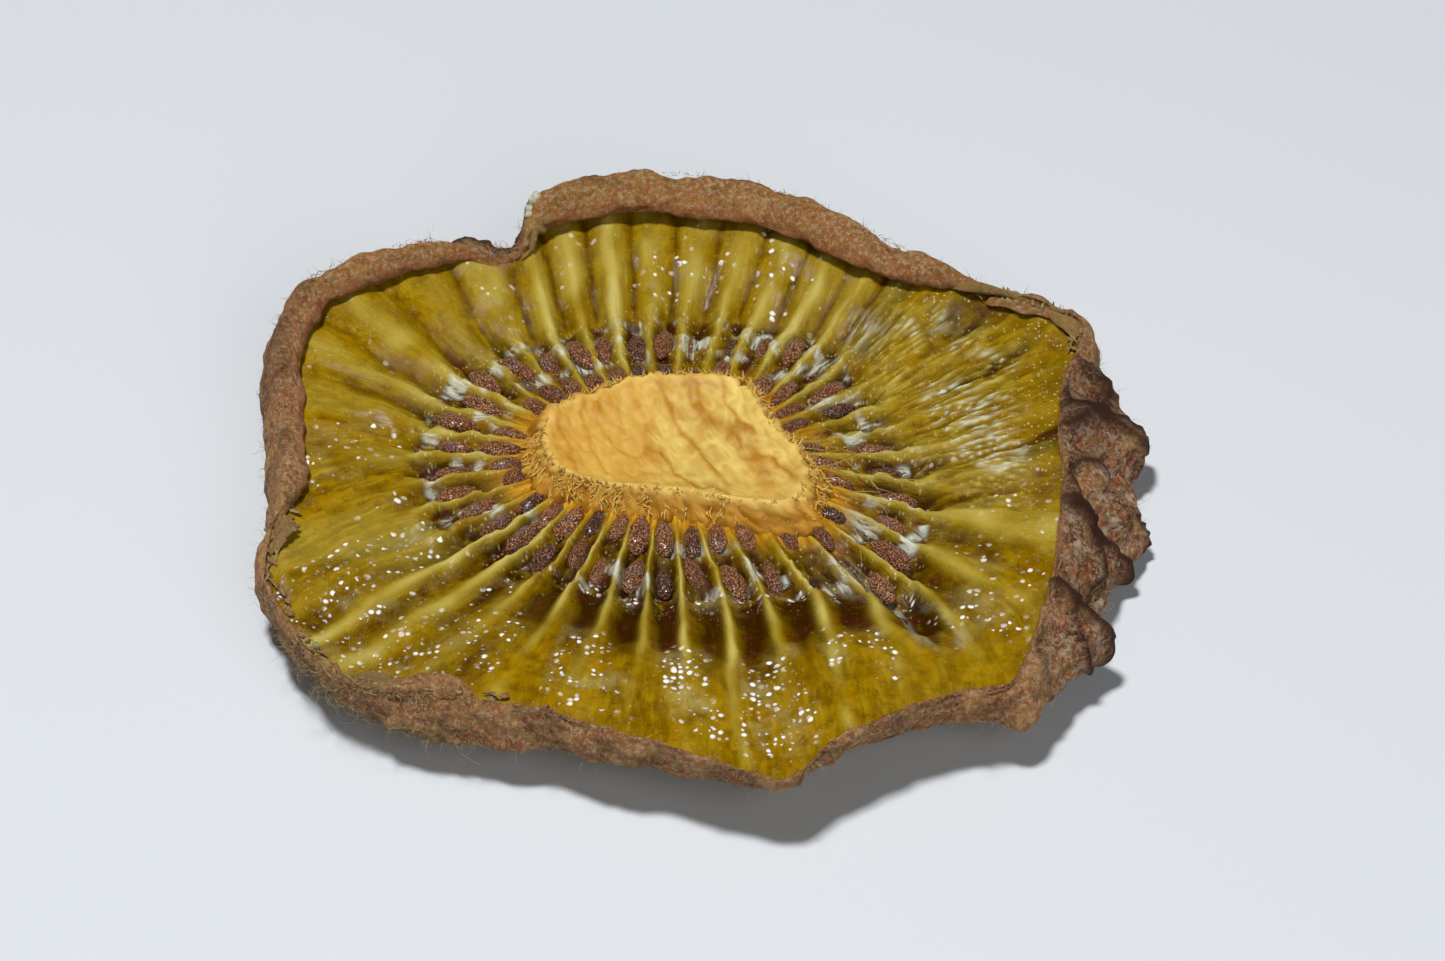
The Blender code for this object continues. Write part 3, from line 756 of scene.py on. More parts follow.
def make_core(material):
    """The core: a dished top with a raised, torn edge, and a grooved side down through the slice."""
    edge = stacked(*core_edge(np.arange(CORE_COLUMNS) * 360 / CORE_COLUMNS), 0)
    torn = 0.12 * lumps(edge, 0.9, 1) + 0.10 * lumps(edge, 0.35, 3)

    def ring_at(reach, height):
        return edge * stacked(reach, reach, 0) + stacked(0, 0, height)

    rings = []
    for share in np.linspace(0.02, 1, CORE_RINGS) ** 0.8:
        top = CORE_TOP - CORE_DISH * (1 - share**2) + TORN_EDGE_RISE * ramp(share, 0.9, 1)
        reach = share * (1 + 0.25 * torn * ramp(share, 0.8, 1))
        rings.append(ring_at(reach, top + torn * ramp(share, 0.75, 1)))
    for drop, swell in CORE_WALL:
        grooves = 1 + swell + 0.05 * ridges(edge + [0, 0, 0.3 * drop], 0.5, 8) + 0.25 * torn
        rings.append(ring_at(grooves, CORE_TOP + TORN_EDGE_RISE - drop + torn))
    rings += [ring_at(share, height) for height, share in CORE_FOOT]
    mesh, ring, _ = woven("core", np.array(rings), tube=False)

    points = coordinates(mesh)
    combed = points @ np.array(CORE_COMBING)
    broad = 0.5 + 0.5 * lumps(combed, 1.5, 11)
    wrinkles = ridges(combed, 0.75, 1)
    fibres = ridges(combed, 0.35, 5)
    veins = ridges(combed * [1, 1, 0] + 0.3 * lumps(points, 1.2, 6)[:, None], 1.3, 21) ** 3
    ripples = 0.17 * broad + 0.05 * wrinkles + 0.04 * fibres + 0.05 * lumps(points, 0.45, 7) - 0.07 * veins
    push_out(mesh, (ripples - 0.2) * (points[:, 2] > 1))
    # Paler on the crests of the ripples and darker in their dips and veins: painted light and painted shade
    # over the core's own streaks
    crest = np.clip(0.2 + 0.55 * broad + 0.2 * wrinkles + 0.25 * fibres - 0.6 * veins, 0, 1)
    rim = ramp(ring, CORE_RINGS - 8, CORE_RINGS) * (ring < CORE_RINGS + 6)
    side = ramp(ring, CORE_RINGS - 1, CORE_RINGS + 3)
    ripe = ramp(points[:, 0] - 1.5 * lumps(points, 3.0, 13), 1.5, -3.5)
    paint(mesh, "looks", rim, side, np.where(ring < CORE_RINGS, crest, fibres), ripe)
    return new_piece("core", mesh, material)


# ---------------------------------------------------------------- peel


def smooth_loop(stations, steps):
    """A closed curve through the stations, with that many points to each stretch."""
    before, after, beyond = (np.roll(stations, -shift, axis=0) for shift in (-1, 1, 2))
    stretches = []
    for share in np.arange(steps) / steps:
        stretches.append(0.5 * (
            2 * stations
            + (after - before) * share
            + (2 * before - 5 * stations + 4 * after - beyond) * share**2
            + (3 * stations - before - 3 * after + beyond) * share**3
        ))
    curve = np.array(stretches)
    return curve.transpose(1, 0, *range(2, curve.ndim)).reshape(-1, *stations.shape[1:])


def peel_loops(bearing):
    """Loops of points round the peel's section, closed inside the flesh."""
    inside = [[around(RIM, 1, bearing) - 0.5, around(RIM, 2, bearing) - 0.9]]
    loop = smooth_loop(np.concatenate([peel_section(bearing), inside]), PEEL_STEPS)
    return polar(bearing, loop[:, 0], loop[:, 1])


def make_peel(material):
    """The peel: a crumpled skin, rolled in at the back and the left and flared out at the right."""
    bearing = np.arange(PEEL_COLUMNS) * 360 / PEEL_COLUMNS
    mesh, place, column = woven("peel", peel_loops(bearing), tube=True)
    points = coordinates(mesh)
    stretch = place / PEEL_STEPS
    on_wall = ease(stretch - 2) * ease(9.5 - stretch)
    flare = ramp(around(HEM, 1, bearing), SKIRT_FROM, SKIRT_FULL)[column]
    creases = ridges(points * [1, 1, 0.8], 3.2, 4) ** 4
    folds = near_any(bearing, PEEL_FOLDS)[column]
    crumpled = near(bearing, *CRUMPLED_EDGE)[column]
    frayed = near_any(bearing, FRAYED_EDGES)[column] * ease(2.5 - stretch)
    uneven = 0.12 * lumps(points, 2.2, 8) + 0.12 * lumps(points, 1.0, 2) + 0.07 * lumps(points, 0.45, 7)
    buckled = 0.32 * facets(points, 4.5, 3) + 0.2 * facets(points, 2.0, 6) + 0.08 * facets(points, 0.8, 8)
    distances = sum((
        uneven * (1 - 0.6 * flare * on_wall),
        crumpled * (0.3 * ridges(points, 1.4, 17) + 0.15 * lumps(points, 0.7, 18)),
        frayed * (0.3 * ridges(points, 0.9, 27) + 0.12 * lumps(points, 0.4, 28) - 0.1),
        -on_wall * (creases * (0.05 + 0.27 * flare) + 0.45 * folds),
        on_wall * (flare * buckled + (1 - flare) * 0.12 * facets(points, 3.0, 16)),
    ))
    push_out(mesh, distances * ease(stretch) * ease(10.5 - stretch))
    set_coordinates(mesh, hold_in(coordinates(mesh), ROOM))
    near_edge = np.maximum(ease(1 - np.abs(stretch - 1.2) / 1.2), ease(1 - np.abs(stretch - 7.3) / 0.9))
    # Painted shade along the creases and folds of the wall
    dark = np.clip((creases + folds) * on_wall, 0, 1)
    paint(mesh, "looks", near_edge, dark, flare * on_wall, np.clip(frayed, 0, 1))
    return new_piece("peel", mesh, material)


def make_flaps(material):
    """Torn, crumpled strips of peel that fold in over the edge of the flesh."""
    sizes = {"x_segments": STRIP_GRID[0], "y_segments": STRIP_GRID[1], "size": 0.5}
    template, square = small_shape("flap", bmesh.ops.create_grid, **sizes)
    length, width = square[:, 0] + 0.5, square[:, 1] + 0.5
    taper = 0.25 + 0.75 * np.clip(np.sin(math.pi * length), 0, 1) ** 0.6
    blocks = []
    for number, (first, last, out, inward, rise, _) in enumerate(STRIPS):
        bearing = first + (last - first) * length
        rim = around(RIM, 1, bearing)
        rough = stacked(rim * np.radians(bearing), 2 * width, 5 * number)
        reach = out - (out + inward * taper * (1 + 0.35 * lumps(rough * [1, 0, 1], 0.8, 61))) * width
        height = around(RIM, 2, bearing) - 0.1 + taper * (rise * np.sin(2.4 * width) + 0.1)
        height += taper * (0.16 * lumps(rough, 0.8, 63) + 0.12 * facets(rough, 1.2, 64))
        blocks.append(polar(bearing, rim + reach + 0.12 * lumps(rough, 0.7, 62), height))
    joined = repeated("peel_flaps", template, hold_in(np.array(blocks), ROOM))
    paint(joined, "looks", 0.3, 0, 0, np.repeat([row[-1] for row in STRIPS], len(square)))
    shape = bmesh.new()
    shape.from_mesh(joined)
    bmesh.ops.solidify(shape, geom=shape.faces[:], thickness=STRIP_THICKNESS * MM)
    bmesh.ops.recalc_face_normals(shape, faces=shape.faces)
    shape.to_mesh(joined)
    shape.free()
    return new_piece("peel_flaps", joined, material)


# ---------------------------------------------------------------- seeds


def seed_places():
    """Chamber floor, outward direction and size of each seed, by the same draws as the solid's seeds."""
    draw = random.Random(7)
    places = []
    for share, often in SEED_ROWS:
        for number in range(CHAMBERS):
            chamber = number + 0.5 + draw.uniform(-0.12, 0.12)
            shift, size, kept = draw.uniform(-0.09, 0.09), draw.uniform(0.86, 1.12), draw.random()
            bearing = float(chamber_bearing(chamber))
            along = float(bed_share(bearing)) * (share + shift)
            middle, inner = (
                Vector((*flesh_plan(bearing, place), flesh_height(bearing, chamber, place)[0]))
                for place in (along, along * 0.8)
            )
            crowded = any((middle - other).length < SEED_GAP for other, _, _ in places)
            if kept < often and not crowded:
                places.append((middle, (middle - inner).normalized(), size))
    return places


def seed_shape(columns, rings):
    """A slightly uneven seed along +Z with its narrow tip at -Z."""
    sizes = {"u_segments": columns, "v_segments": rings, "radius": 1}
    mesh, ball = small_shape("seed", bmesh.ops.create_uvsphere, **sizes)
    length = np.arccos(np.clip(-ball[:, 2], -1, 1)) / math.pi
    taper = 0.55 + 0.75 * length - 0.28 * length**2
    points = ball * stacked(taper * SEED_WIDTH / 2, taper * SEED_THICKNESS / 2, SEED_LENGTH / 2)
    return mesh, points + ball * 0.05 * lumps(points, 0.6, 4)[:, None]


def make_seeds(name, places, shape, lift, material):
    """Copies of a seed, each with its tip towards the core and turned on its own long axis."""
    mesh, points = shape
    draw = random.Random(3)
    blocks, shells = [], []
    for middle, outward, size in places:
        heading = (outward + Vector((draw.uniform(-0.2, 0.2), draw.uniform(-0.2, 0.2), 0.0))).normalized()
        across = Vector((0, 0, 1)).cross(heading).normalized()
        turn = Matrix.Rotation(draw.uniform(-0.6, 0.6), 3, heading)
        axes = np.array([turn @ across, turn @ heading.cross(across), heading])
        slimness = np.array([draw.uniform(0.72, 1.0), 1, draw.uniform(0.92, 1.05)])
        blocks.append(np.array(middle) + [0, 0, lift] + points * slimness @ axes * size)
        shells.append(points + draw.uniform(5, 20))
    joined = repeated(name, mesh, np.array(blocks))
    tone = np.repeat([draw.random() for _ in places], len(points))
    tip = np.tile(ease(-points[:, 2] / SEED_LENGTH * 2), len(places))
    paint(joined, "looks", tone, tip)
    mark(joined, "on_seed", np.array(shells))
    return new_piece(name, joined, material)


# ---------------------------------------------------------------- fibres and hairs


def strand_shape(sides, joints):
    """A tapered strand along +Z from 0 to 1."""
    shape = bmesh.new()
    bmesh.ops.create_circle(shape, segments=sides, radius=1, cap_ends=True)
    tip = shape.faces[:]
    thickness = (1 - np.arange(joints + 1) / joints) ** 0.5 + 0.05
    for joint, narrowing in enumerate(thickness[1:] / thickness[:-1]):
        grown = bmesh.ops.extrude_face_region(shape, geom=tip)
        if joint:
            bmesh.ops.delete(shape, geom=tip, context="FACES_ONLY")
        tip = [part for part in grown["geom"] if isinstance(part, bmesh.types.BMFace)]
        raised = [part for part in grown["geom"] if isinstance(part, bmesh.types.BMVert)]
        bmesh.ops.translate(shape, verts=raised, vec=(0, 0, 1 / joints))
        bmesh.ops.scale(shape, verts=raised, vec=(narrowing, narrowing, 1))
    bmesh.ops.recalc_face_normals(shape, faces=shape.faces)
    return template_of("strand", shape)


def strands(name, template, roots, directions, bends, lengths, widths, curl):
    """Many strands as one mesh: each starts at its root, heads along its direction, bends over and curls."""
    mesh, points = template
    draw = np.random.default_rng(5)
    directions = unit(directions)
    sideways = unit(np.cross(directions, bends))
    upright = np.cross(sideways, directions)
    share = points[:, 2]
    turn = draw.uniform(3, 11, len(roots))[:, None] * share
    lengths, widths = lengths[:, None], widths[:, None]
    loops = np.reshape(curl, (-1, 1)) * lengths * share
    blocks = roots[:, None] + sum(axis[:, None] * reach[:, :, None] for axis, reach in (
        (directions, lengths * share),
        (bends, lengths * share**2),
        (sideways, widths * points[:, 0] + loops * np.sin(turn)),
        (upright, widths * points[:, 1] + loops * (1 - np.cos(turn))),
    ))
    joined = repeated(name, mesh, hold_in(blocks, HAIR_ROOM))
    tone = np.repeat(draw.uniform(0, 1, len(roots)), len(points))
    paint(joined, "looks", np.tile(share, len(roots)), tone)
    return joined


def make_peel_hairs(name, material, count, joints, length, width, lying, curl):
    """Hairs on the peel's outside, thickest at the front left. Lying is how flat they lie, from 0 to 1."""
    draw = np.random.default_rng(count)
    bearing = draw.uniform(0, 360, count)
    bearing = bearing[draw.uniform(0, 1, count) < 0.4 + 0.6 * near(bearing, *HAIRY_EDGE)]
    count = len(bearing)
    tangled = near(bearing, *TANGLE)
    loops = peel_loops(bearing)
    place = np.rint(draw.uniform(2.0, 7.4, count) * PEEL_STEPS).astype(int)
    before, root, beyond = (loops[place + step, np.arange(count)] for step in (-2, 0, 2))
    outward = unit(np.cross(polar(bearing + 90, 1, 0), beyond - before))
    directions = outward * draw.uniform(0.2, 1.2 - lying, count)[:, None]
    directions += 0.5 * draw.normal(0, 1, (count, 3))
    bends = 0.5 * draw.normal(0, 1, (count, 3)) - 0.3 * lying * outward
    lengths = length * draw.uniform(0.5, 1.3, count) * (1 + 2.2 * curl * tangled)
    widths = width * draw.uniform(0.7, 1.3, count)
    mesh = strands(
        name, strand_shape(3, joints), root + 0.02 * outward, directions, bends, lengths, widths,
        curl * (1 + tangled),
    )
    return new_piece(name, mesh, material)


def make_core_fringe(material):
    """Short curls that stand up and hang over all round the core's torn edge."""
    draw = np.random.default_rng(31)
    bearing = draw.uniform(0, 360, FRINGE_HAIRS)
    level = draw.uniform(0, 1, FRINGE_HAIRS) ** 1.6
    edge_x, edge_y = core_edge(bearing) * (1.03 + 0.14 * level)
    roots = stacked(edge_x, edge_y, CORE_TOP + TORN_EDGE_RISE - FRINGE_DEPTH * level)
    outward = unit(roots * [1, 1, 0])
    sideways = np.cross(outward, [0, 0, 1]) * np.sign(lumps(roots, 1.5, 3))[:, None]
    standing = ramp(level, 0.25, 0.05)[:, None]
    directions = outward * 0.5 + (1.3 * standing - 0.8) * [0, 0, 1] + 0.5 * sideways
    directions += 0.25 * draw.normal(0, 1, (FRINGE_HAIRS, 3))
    bends = 0.3 * draw.normal(0, 1, (FRINGE_HAIRS, 3)) + standing * ([0, 0, 0.4] - 0.4 * outward)
    lengths = draw.uniform(0.2, 0.4, FRINGE_HAIRS)
    widths = draw.uniform(0.035, 0.065, FRINGE_HAIRS)
    mesh = strands("core_fringe", strand_shape(5, 6), roots, directions, bends, lengths, widths, 0.15)
    return new_piece("core_fringe", mesh, material)


def make_threads(material):
    """Long thin fibres that lie loose over the seeds at the right end of the core."""
    draw = np.random.default_rng(41)
    bearing = draw.uniform(-50, 8, THREADS)
    edge_x, edge_y = core_edge(bearing) * draw.uniform(1.0, 1.5, THREADS)
    roots = stacked(edge_x, edge_y, draw.uniform(3.5, 3.9, THREADS))
    directions = unit(roots * [1, 1, 0]) + 0.5 * draw.normal(0, 1, (THREADS, 3)) * [1, 1, 0.2]
    bends = 0.6 * draw.normal(0, 1, (THREADS, 3)) * [1, 1, 0.2] - [0, 0, 0.1]
    lengths = draw.uniform(1.4, 3.2, THREADS)
    widths = draw.uniform(0.018, 0.03, THREADS)
    mesh = strands("loose_fibres", strand_shape(5, 14), roots, directions, bends, lengths, widths, 0.08)
    return new_piece("loose_fibres", mesh, material)


def make_crumbs(material):
    """Small torn scraps of peel and of the skin under it, along the frayed edge of the flesh."""
    draw = np.random.default_rng(51)
    bearing = draw.uniform(0, 360, CRUMBS * 6)
    bearing = bearing[draw.uniform(0, 1, len(bearing)) < near_any(bearing, CRUMBLING_EDGES)][:CRUMBS]
    template, ball = small_shape("crumb", bmesh.ops.create_uvsphere, u_segments=8, v_segments=5, radius=1)
    blocks = []
    for number, place in enumerate(bearing):
        radius = around(RIM, 1, place) + draw.uniform(-0.4, 0.4)
        middle = polar(place, radius, around(RIM, 2, place) + draw.uniform(0.0, 0.3))
        half_size = [draw.uniform(*limits) for limits in CRUMB_HALF_SIZES]
        rough = ball * (1 + 0.5 * lumps(ball, 0.8, number))[:, None] * half_size
        rough[:, 2] += 0.8 * draw.uniform(-1, 1) * rough[:, 0] ** 2
        lean = Matrix.Rotation(draw.uniform(-0.8, 0.8), 3, "X")
        spin = Matrix.Rotation(math.radians(place + draw.uniform(40, 140)), 3, "Z")
        blocks.append(middle + rough @ np.array(spin @ lean).T)
    for number, place in enumerate(BLEACHED_TUFT):
        middle = peel_loops(np.array([place]))[3 * PEEL_STEPS, 0]
        blocks.append(middle + ball * TUFT_LUMP * (1 + 0.5 * lumps(ball + number, 0.7, 5))[:, None])
    joined = repeated("peel_crumbs", template, hold_in(np.array(blocks), ROOM))
    bleached = np.arange(len(blocks)) >= len(bearing)
    paint(joined, "looks", *np.repeat([draw.uniform(0, 1, len(blocks)), bleached], len(ball), axis=1))
    return new_piece("peel_crumbs", joined, material)


# ---------------------------------------------------------------- materials


def colour(code):
    """Linear colour from an sRGB hex code."""
    parts = [int(code[index:index + 2], 16) / 255 for index in (0, 2, 4)]
    return (*(part / 12.92 if part < 0.04045 else ((part + 0.055) / 1.055) ** 2.4 for part in parts), 1)


def per(size):
    """Texture scale that gives features of that size in mm."""
    return 1 / (size * MM)


def add(material, kind, inputs=None, **settings):
    """Adds a node with its settings and its inputs.

    An input is a value, a colour's hex code, a socket to link from, or a node whose first output is linked.
    """
    tree = material.node_tree
    made = tree.nodes.new(kind)
    for name, value in settings.items():
        setattr(made, name, value)
    for socket, value in (inputs or {}).items():
        if isinstance(value, bpy.types.Node):
            value = value.outputs[0]
        if isinstance(value, bpy.types.NodeSocket):
            tree.links.new(value, made.inputs[socket])
        else:
            made.inputs[socket].default_value = colour(value) if isinstance(value, str) else value
    return made


def new_material(name):
    """A material without nodes."""
    material = bpy.data.materials.new(name)
    material.use_nodes = True
    material.node_tree.nodes.clear()
    return material


def finish_with(material, inputs):
    """Ends a material with its shader and its output."""
    shader = add(material, "ShaderNodeBsdfPrincipled", inputs)
    add(material, "ShaderNodeOutputMaterial", {"Surface": shader})
    return material


def painted(material, name="looks"):
    """The four painted values of a point: first, second, third, fourth."""
    attribute = add(material, "ShaderNodeAttribute", attribute_name=name)
    parts = add(material, "ShaderNodeSeparateColor", {"Color": attribute.outputs["Color"]})
    return (*parts.outputs, attribute.outputs["Alpha"])


def mottle(material, where, size, bare, full, detail=3.0, roughness=0.6):
    """Cover by soft patches of that size in mm: 0 where noise is at bare, 1 where it is at full."""
    pattern = add(material, "ShaderNodeTexNoise", {
        "Vector": where, "Scale": per(size), "Detail": detail, "Roughness": roughness,
    })
    return add(material, "ShaderNodeMapRange", {"Value": pattern, "From Min": bare, "From Max": full})


def coats(material, base, *layers):
    """Colour of a base under layers: each has its cover from 0 to 1, its colour and the most it covers."""
    for cover, tone, most in layers:
        share = add(material, "ShaderNodeMath", {0: cover, 1: most}, operation="MULTIPLY", use_clamp=True)
        base = add(material, "ShaderNodeMix", {0: share, 6: base, 7: tone}, data_type="RGBA").outputs[2]
    return base


def make_flesh_material():
    """Dehydrated kiwi flesh, cut and dried: olive gold, translucent, under a syrup that beads and glints,
    with painted glints, sheen, highlights and shade.
    """
    material = new_material("dehydrated_kiwi_flesh")
    where = add(material, "ShaderNodeTexCoord").outputs["Object"]
    along_ribs = add(material, "ShaderNodeAttribute", attribute_name="along_ribs").outputs["Vector"]
    pale, juice_and_shade, silver_sheen, amber = painted(material)
    drops, grain, fibres, glint_cover = painted(material, "wetness")

    golden = coats(
        material, "985f04",
        (mottle(material, along_ribs, 0.3, 0.4, 0.6, 4), "cc9c30", 1),
        (mottle(material, where, 0.8, 0.54, 0.66, 3), "843c08", 0.6),
    )
    juicy = add(material, "ShaderNodeMath", {0: juice_and_shade, 1: silver_sheen}, operation="ADD", use_clamp=True)
    body = coats(
        material, "664800",
        (mottle(material, where, 3.5, 0.35, 0.65), "866600", 1),
        (mottle(material, along_ribs, 0.9, 0.42, 0.62), "926e00", 0.7),
        (mottle(material, along_ribs, 0.35, 0.48, 0.66, 4), "a08410", fibres),
        (mottle(material, where, 0.6, 0.48, 0.72, 4, 0.7), "543600", 0.8),
        # dark juice and painted shade
        (juice_and_shade, "2c1400", 0.97),
        (mottle(material, where, 1.1, 0.52, 0.62, 4), "42180a", juicy),
        (amber, golden, 1),
        # pale membranes and painted highlights
        (pale, "9c8818", 1),
        (pale, "b2a258", pale),
        # pale film with a painted silvery sheen
        (silver_sheen, "c4c8b8", mottle(material, along_ribs, 0.22, 0.36, 0.52, 4)),
    )

    # Painted glints of syrup beads: small ragged discs in clusters, more of them where the painted glint
    # cover is higher. The same discs raise the beads in the bump.
    ragged = add(material, "ShaderNodeTexNoise", {"Vector": where, "Scale": per(0.5)}).outputs["Color"]
    shaken = add(material, "ShaderNodeVectorMath", {
        0: ragged, 1: (0.2 * MM,) * 3, 2: where,
    }, operation="MULTIPLY_ADD")
    cells = add(material, "ShaderNodeTexVoronoi", {
        "Vector": shaken, "Scale": per(0.36), "Randomness": 0.95,
    }, voronoi_dimensions="2D")
    draws = add(material, "ShaderNodeSeparateColor", {"Color": cells.outputs["Color"]})
    from_edge = add(material, "ShaderNodeMath", {0: draws, 1: 0.5, 2: 0.05}, operation="MULTIPLY_ADD")
    inside = add(material, "ShaderNodeMath", {0: from_edge, 1: cells}, operation="SUBTRACT")
    disc = add(material, "ShaderNodeMapRange", {"Value": inside, "From Min": 0.02, "From Max": 0.2})
    clusters = mottle(material, where, 1.3, 0.43, 0.53, 3, 0.6)
    lit = add(material, "ShaderNodeMath", {0: draws.outputs[1], 1: glint_cover}, operation="ADD")
    lit = add(material, "ShaderNodeMapRange", {"Value": lit, "From Min": 1.0, "From Max": 1.4})
    glint_beads = add(material, "ShaderNodeMath", {0: disc, 1: clusters}, operation="MULTIPLY")
    glint_beads = add(material, "ShaderNodeMath", {0: glint_beads, 1: lit}, operation="MULTIPLY")
    # Finer painted glints between them, and a thin film of painted sheen
    specks = add(material, "ShaderNodeTexVoronoi", {
        "Vector": where, "Scale": per(0.17),
    }, voronoi_dimensions="2D")
    rare = add(material, "ShaderNodeSeparateColor", {"Color": specks.outputs["Color"]})
    rare = add(material, "ShaderNodeMapRange", {"Value": rare, "From Min": 0.82, "From Max": 1.0})
    sparkle_glints = add(material, "ShaderNodeMapRange", {"Value": specks, "From Min": 0.45, "From Max": 0.15})
    sparkle_glints = add(material, "ShaderNodeMath", {0: sparkle_glints, 1: rare}, operation="MULTIPLY")
    sparkle_glints = add(material, "ShaderNodeMath", {0: sparkle_glints, 1: grain}, operation="MULTIPLY")
    smears = mottle(material, where, 1.9, 0.5, 0.66, 4, 0.6)
    sheen_film = add(material, "ShaderNodeMath", {0: smears, 1: glint_cover}, operation="MULTIPLY")
    # Painted sheen, painted sparkles and painted glints laid over the flesh's colour
    with_painted_glints = coats(
        material, body,
        (sheen_film, "b4aa70", 0.35), (sparkle_glints, "dcd09c", 0.9), (glint_beads, "f4f0ea", 1.1),
    )
    # Syrup over it all, broken up by noise
    coat = add(material, "ShaderNodeMapRange", {"Value": drops, "To Min": 0.12, "To Max": 1.0})
    broken = mottle(material, ragged, 0.35, 0.42, 0.58, 3)
    coat = add(material, "ShaderNodeMath", {0: coat, 1: broken}, operation="MULTIPLY")
    stringy = add(material, "ShaderNodeBump", {
        "Strength": fibres, "Distance": 0.12 * MM, "Height": mottle(material, along_ribs, 0.25, 0.2, 0.8, 4),
    })
    grainy = add(material, "ShaderNodeBump", {
        "Strength": grain, "Distance": 0.12 * MM, "Height": mottle(material, where, 0.2, 0.2, 0.8, 3, 0.7),
        "Normal": stringy,
    })
    beaded = add(material, "ShaderNodeBump", {
        "Strength": drops, "Distance": 0.11 * MM, "Height": glint_beads, "Normal": grainy,
    })
    return finish_with(material, {
        "Base Color": with_painted_glints, "Roughness": 0.5, "IOR": 1.4, "Specular IOR Level": 0.0, "Normal": beaded,
        "Subsurface Weight": 0.3, "Subsurface Radius": (1.0, 0.7, 0.1), "Subsurface Scale": 0.4 * MM,
        "Coat Weight": coat, "Coat Roughness": 0.08, "Coat IOR": 1.5, "Coat Normal": beaded,
    })


def make_core_material():
    """Dried kiwi core: waxy, pale yellow on its crests and orange in its dips, painted light and painted
    shade that follow its ripples over its own streaky tone, and pale yellow along its torn edge.
    """
    material = new_material("dried_kiwi_core")
    where = add(material, "ShaderNodeTexCoord").outputs["Object"]
    edge, side, crest, ripe = painted(material)
    body = coats(
        material, "9c6608",
        (crest, "dcc46c", 1),
        (mottle(material, where, 2.4, 0.4, 0.7), "c49434", 0.3),
        (ripe, "bc8420", 0.55),
        (edge, "d0b05c", 0.5),
        (side, "986408", 1),
        (crest, "cc9838", side),
    )
    bump = add(material, "ShaderNodeBump", {
        "Strength": 0.5, "Distance": 0.05 * MM, "Height": mottle(material, where, 0.3, 0.2, 0.8, 4),
    })
    return finish_with(material, {
        "Base Color": body, "Roughness": 0.55, "IOR": 1.44, "Specular IOR Level": 0.35, "Normal": bump,
        "Subsurface Weight": 0.5, "Subsurface Radius": (1.0, 0.6, 0.2), "Subsurface Scale": 0.5 * MM,
    })


def make_peel_material():
    """Dried kiwi peel: papery brown skin with reddish specks, painted shade in its creases and a felt of
    crushed hairs.
    """
    material = new_material("dried_kiwi_peel")
    where = add(material, "ShaderNodeTexCoord").outputs["Object"]
    edge, crease_shade, skirt, frayed = painted(material)
    depth = add(material, "ShaderNodeSeparateXYZ", {"Vector": where}).outputs["Y"]
    back = add(material, "ShaderNodeMapRange", {"Value": depth, "From Min": 4 * MM, "From Max": 14 * MM})
    scales = add(material, "ShaderNodeTexVoronoi", {"Vector": where, "Scale": per(0.3)})
    tint = add(material, "ShaderNodeSeparateColor", {"Color": scales.outputs["Color"]})
    reddish = add(material, "ShaderNodeMapRange", {"Value": tint, "From Min": 0.55, "From Max": 0.9})
    darker = add(material, "ShaderNodeMapRange", {"Value": tint.outputs[1], "From Min": 0.5, "From Max": 0.9})
    body = coats(
        material, "986238",
        (mottle(material, where, 1.6, 0.4, 0.62, 6, 0.7), "cc9c5c", 1),
        (back, "b8863c", 0.65),
        (mottle(material, where, 1.4, 0.4, 0.56, 6, 0.75), "542c12", skirt),
        (darker, "603c20", 0.3),
        (reddish, "c8683c", 0.45),
        (mottle(material, where, 0.7, 0.58, 0.68, 3), "c06e50", skirt),
        (mottle(material, where, 0.9, 0.53, 0.61, 6, 0.75), "ccb49c", skirt),
        (mottle(material, where, 0.22, 0.48, 0.62, 5, 0.75), "e4c8a0", 0.65),
        (mottle(material, where, 0.3, 0.48, 0.34, 4, 0.7), "482c14", 0.5),
        (edge, "a8603c", 0.45),
        (frayed, "94884c", 0.7),
        # painted shade in the creases
        (crease_shade, "24140a", 0.5),
        (crease_shade, "40200c", skirt),
    )
    bump = add(material, "ShaderNodeBump", {
        "Strength": 1.0, "Distance": 0.25 * MM, "Height": mottle(material, where, 0.4, 0.2, 0.8, 8, 0.85),
    })
    return finish_with(material, {
        "Base Color": body, "Roughness": 0.85, "IOR": 1.45, "Specular IOR Level": 0.3, "Normal": bump,
    })


def make_seed_material(name, gap, dark, light, tip_colour, gloss):
    """Kiwi seed coat: rows of small beads with darker gaps between them and a painted glint on each bead, dry
    or under dried juice.
    """
    material = new_material(name)
    on_seed = add(material, "ShaderNodeAttribute", attribute_name="on_seed").outputs["Vector"]
    tone, tip, _, _ = painted(material)
    cells = add(material, "ShaderNodeTexVoronoi", {"Vector": on_seed, "Scale": per(0.12), "Randomness": 0.7})
    bead, glint = (
        add(material, "ShaderNodeMapRange", {"Value": cells, "From Min": rim, "From Max": top})
        for rim, top in ((0.7, 0.3), (0.32, 0.12))
    )
    beads = coats(
        material, dark,
        (tone, light, 1),
        (mottle(material, on_seed, 0.7, 0.5, 0.62), tip_colour, 0.7),
        (mottle(material, on_seed, 0.5, 0.45, 0.7), dark, 0.6),
        (tip, tip_colour, 0.6),
        (mottle(material, on_seed, 0.9, 0.58, 0.68, 2), "8c8890", 0.5),
    )
    body = coats(material, gap, (bead, beads, 1), (glint, "e0b89c", 0.5))
    bump = add(material, "ShaderNodeBump", {"Strength": 1.0, "Distance": 0.08 * MM, "Height": bead})
    return finish_with(material, {
        "Base Color": body, "Roughness": 0.35, "IOR": 1.5, "Specular IOR Level": 0.5, "Normal": bump,
        "Coat Weight": gloss, "Coat Roughness": 0.12, "Coat Normal": bump,
    })


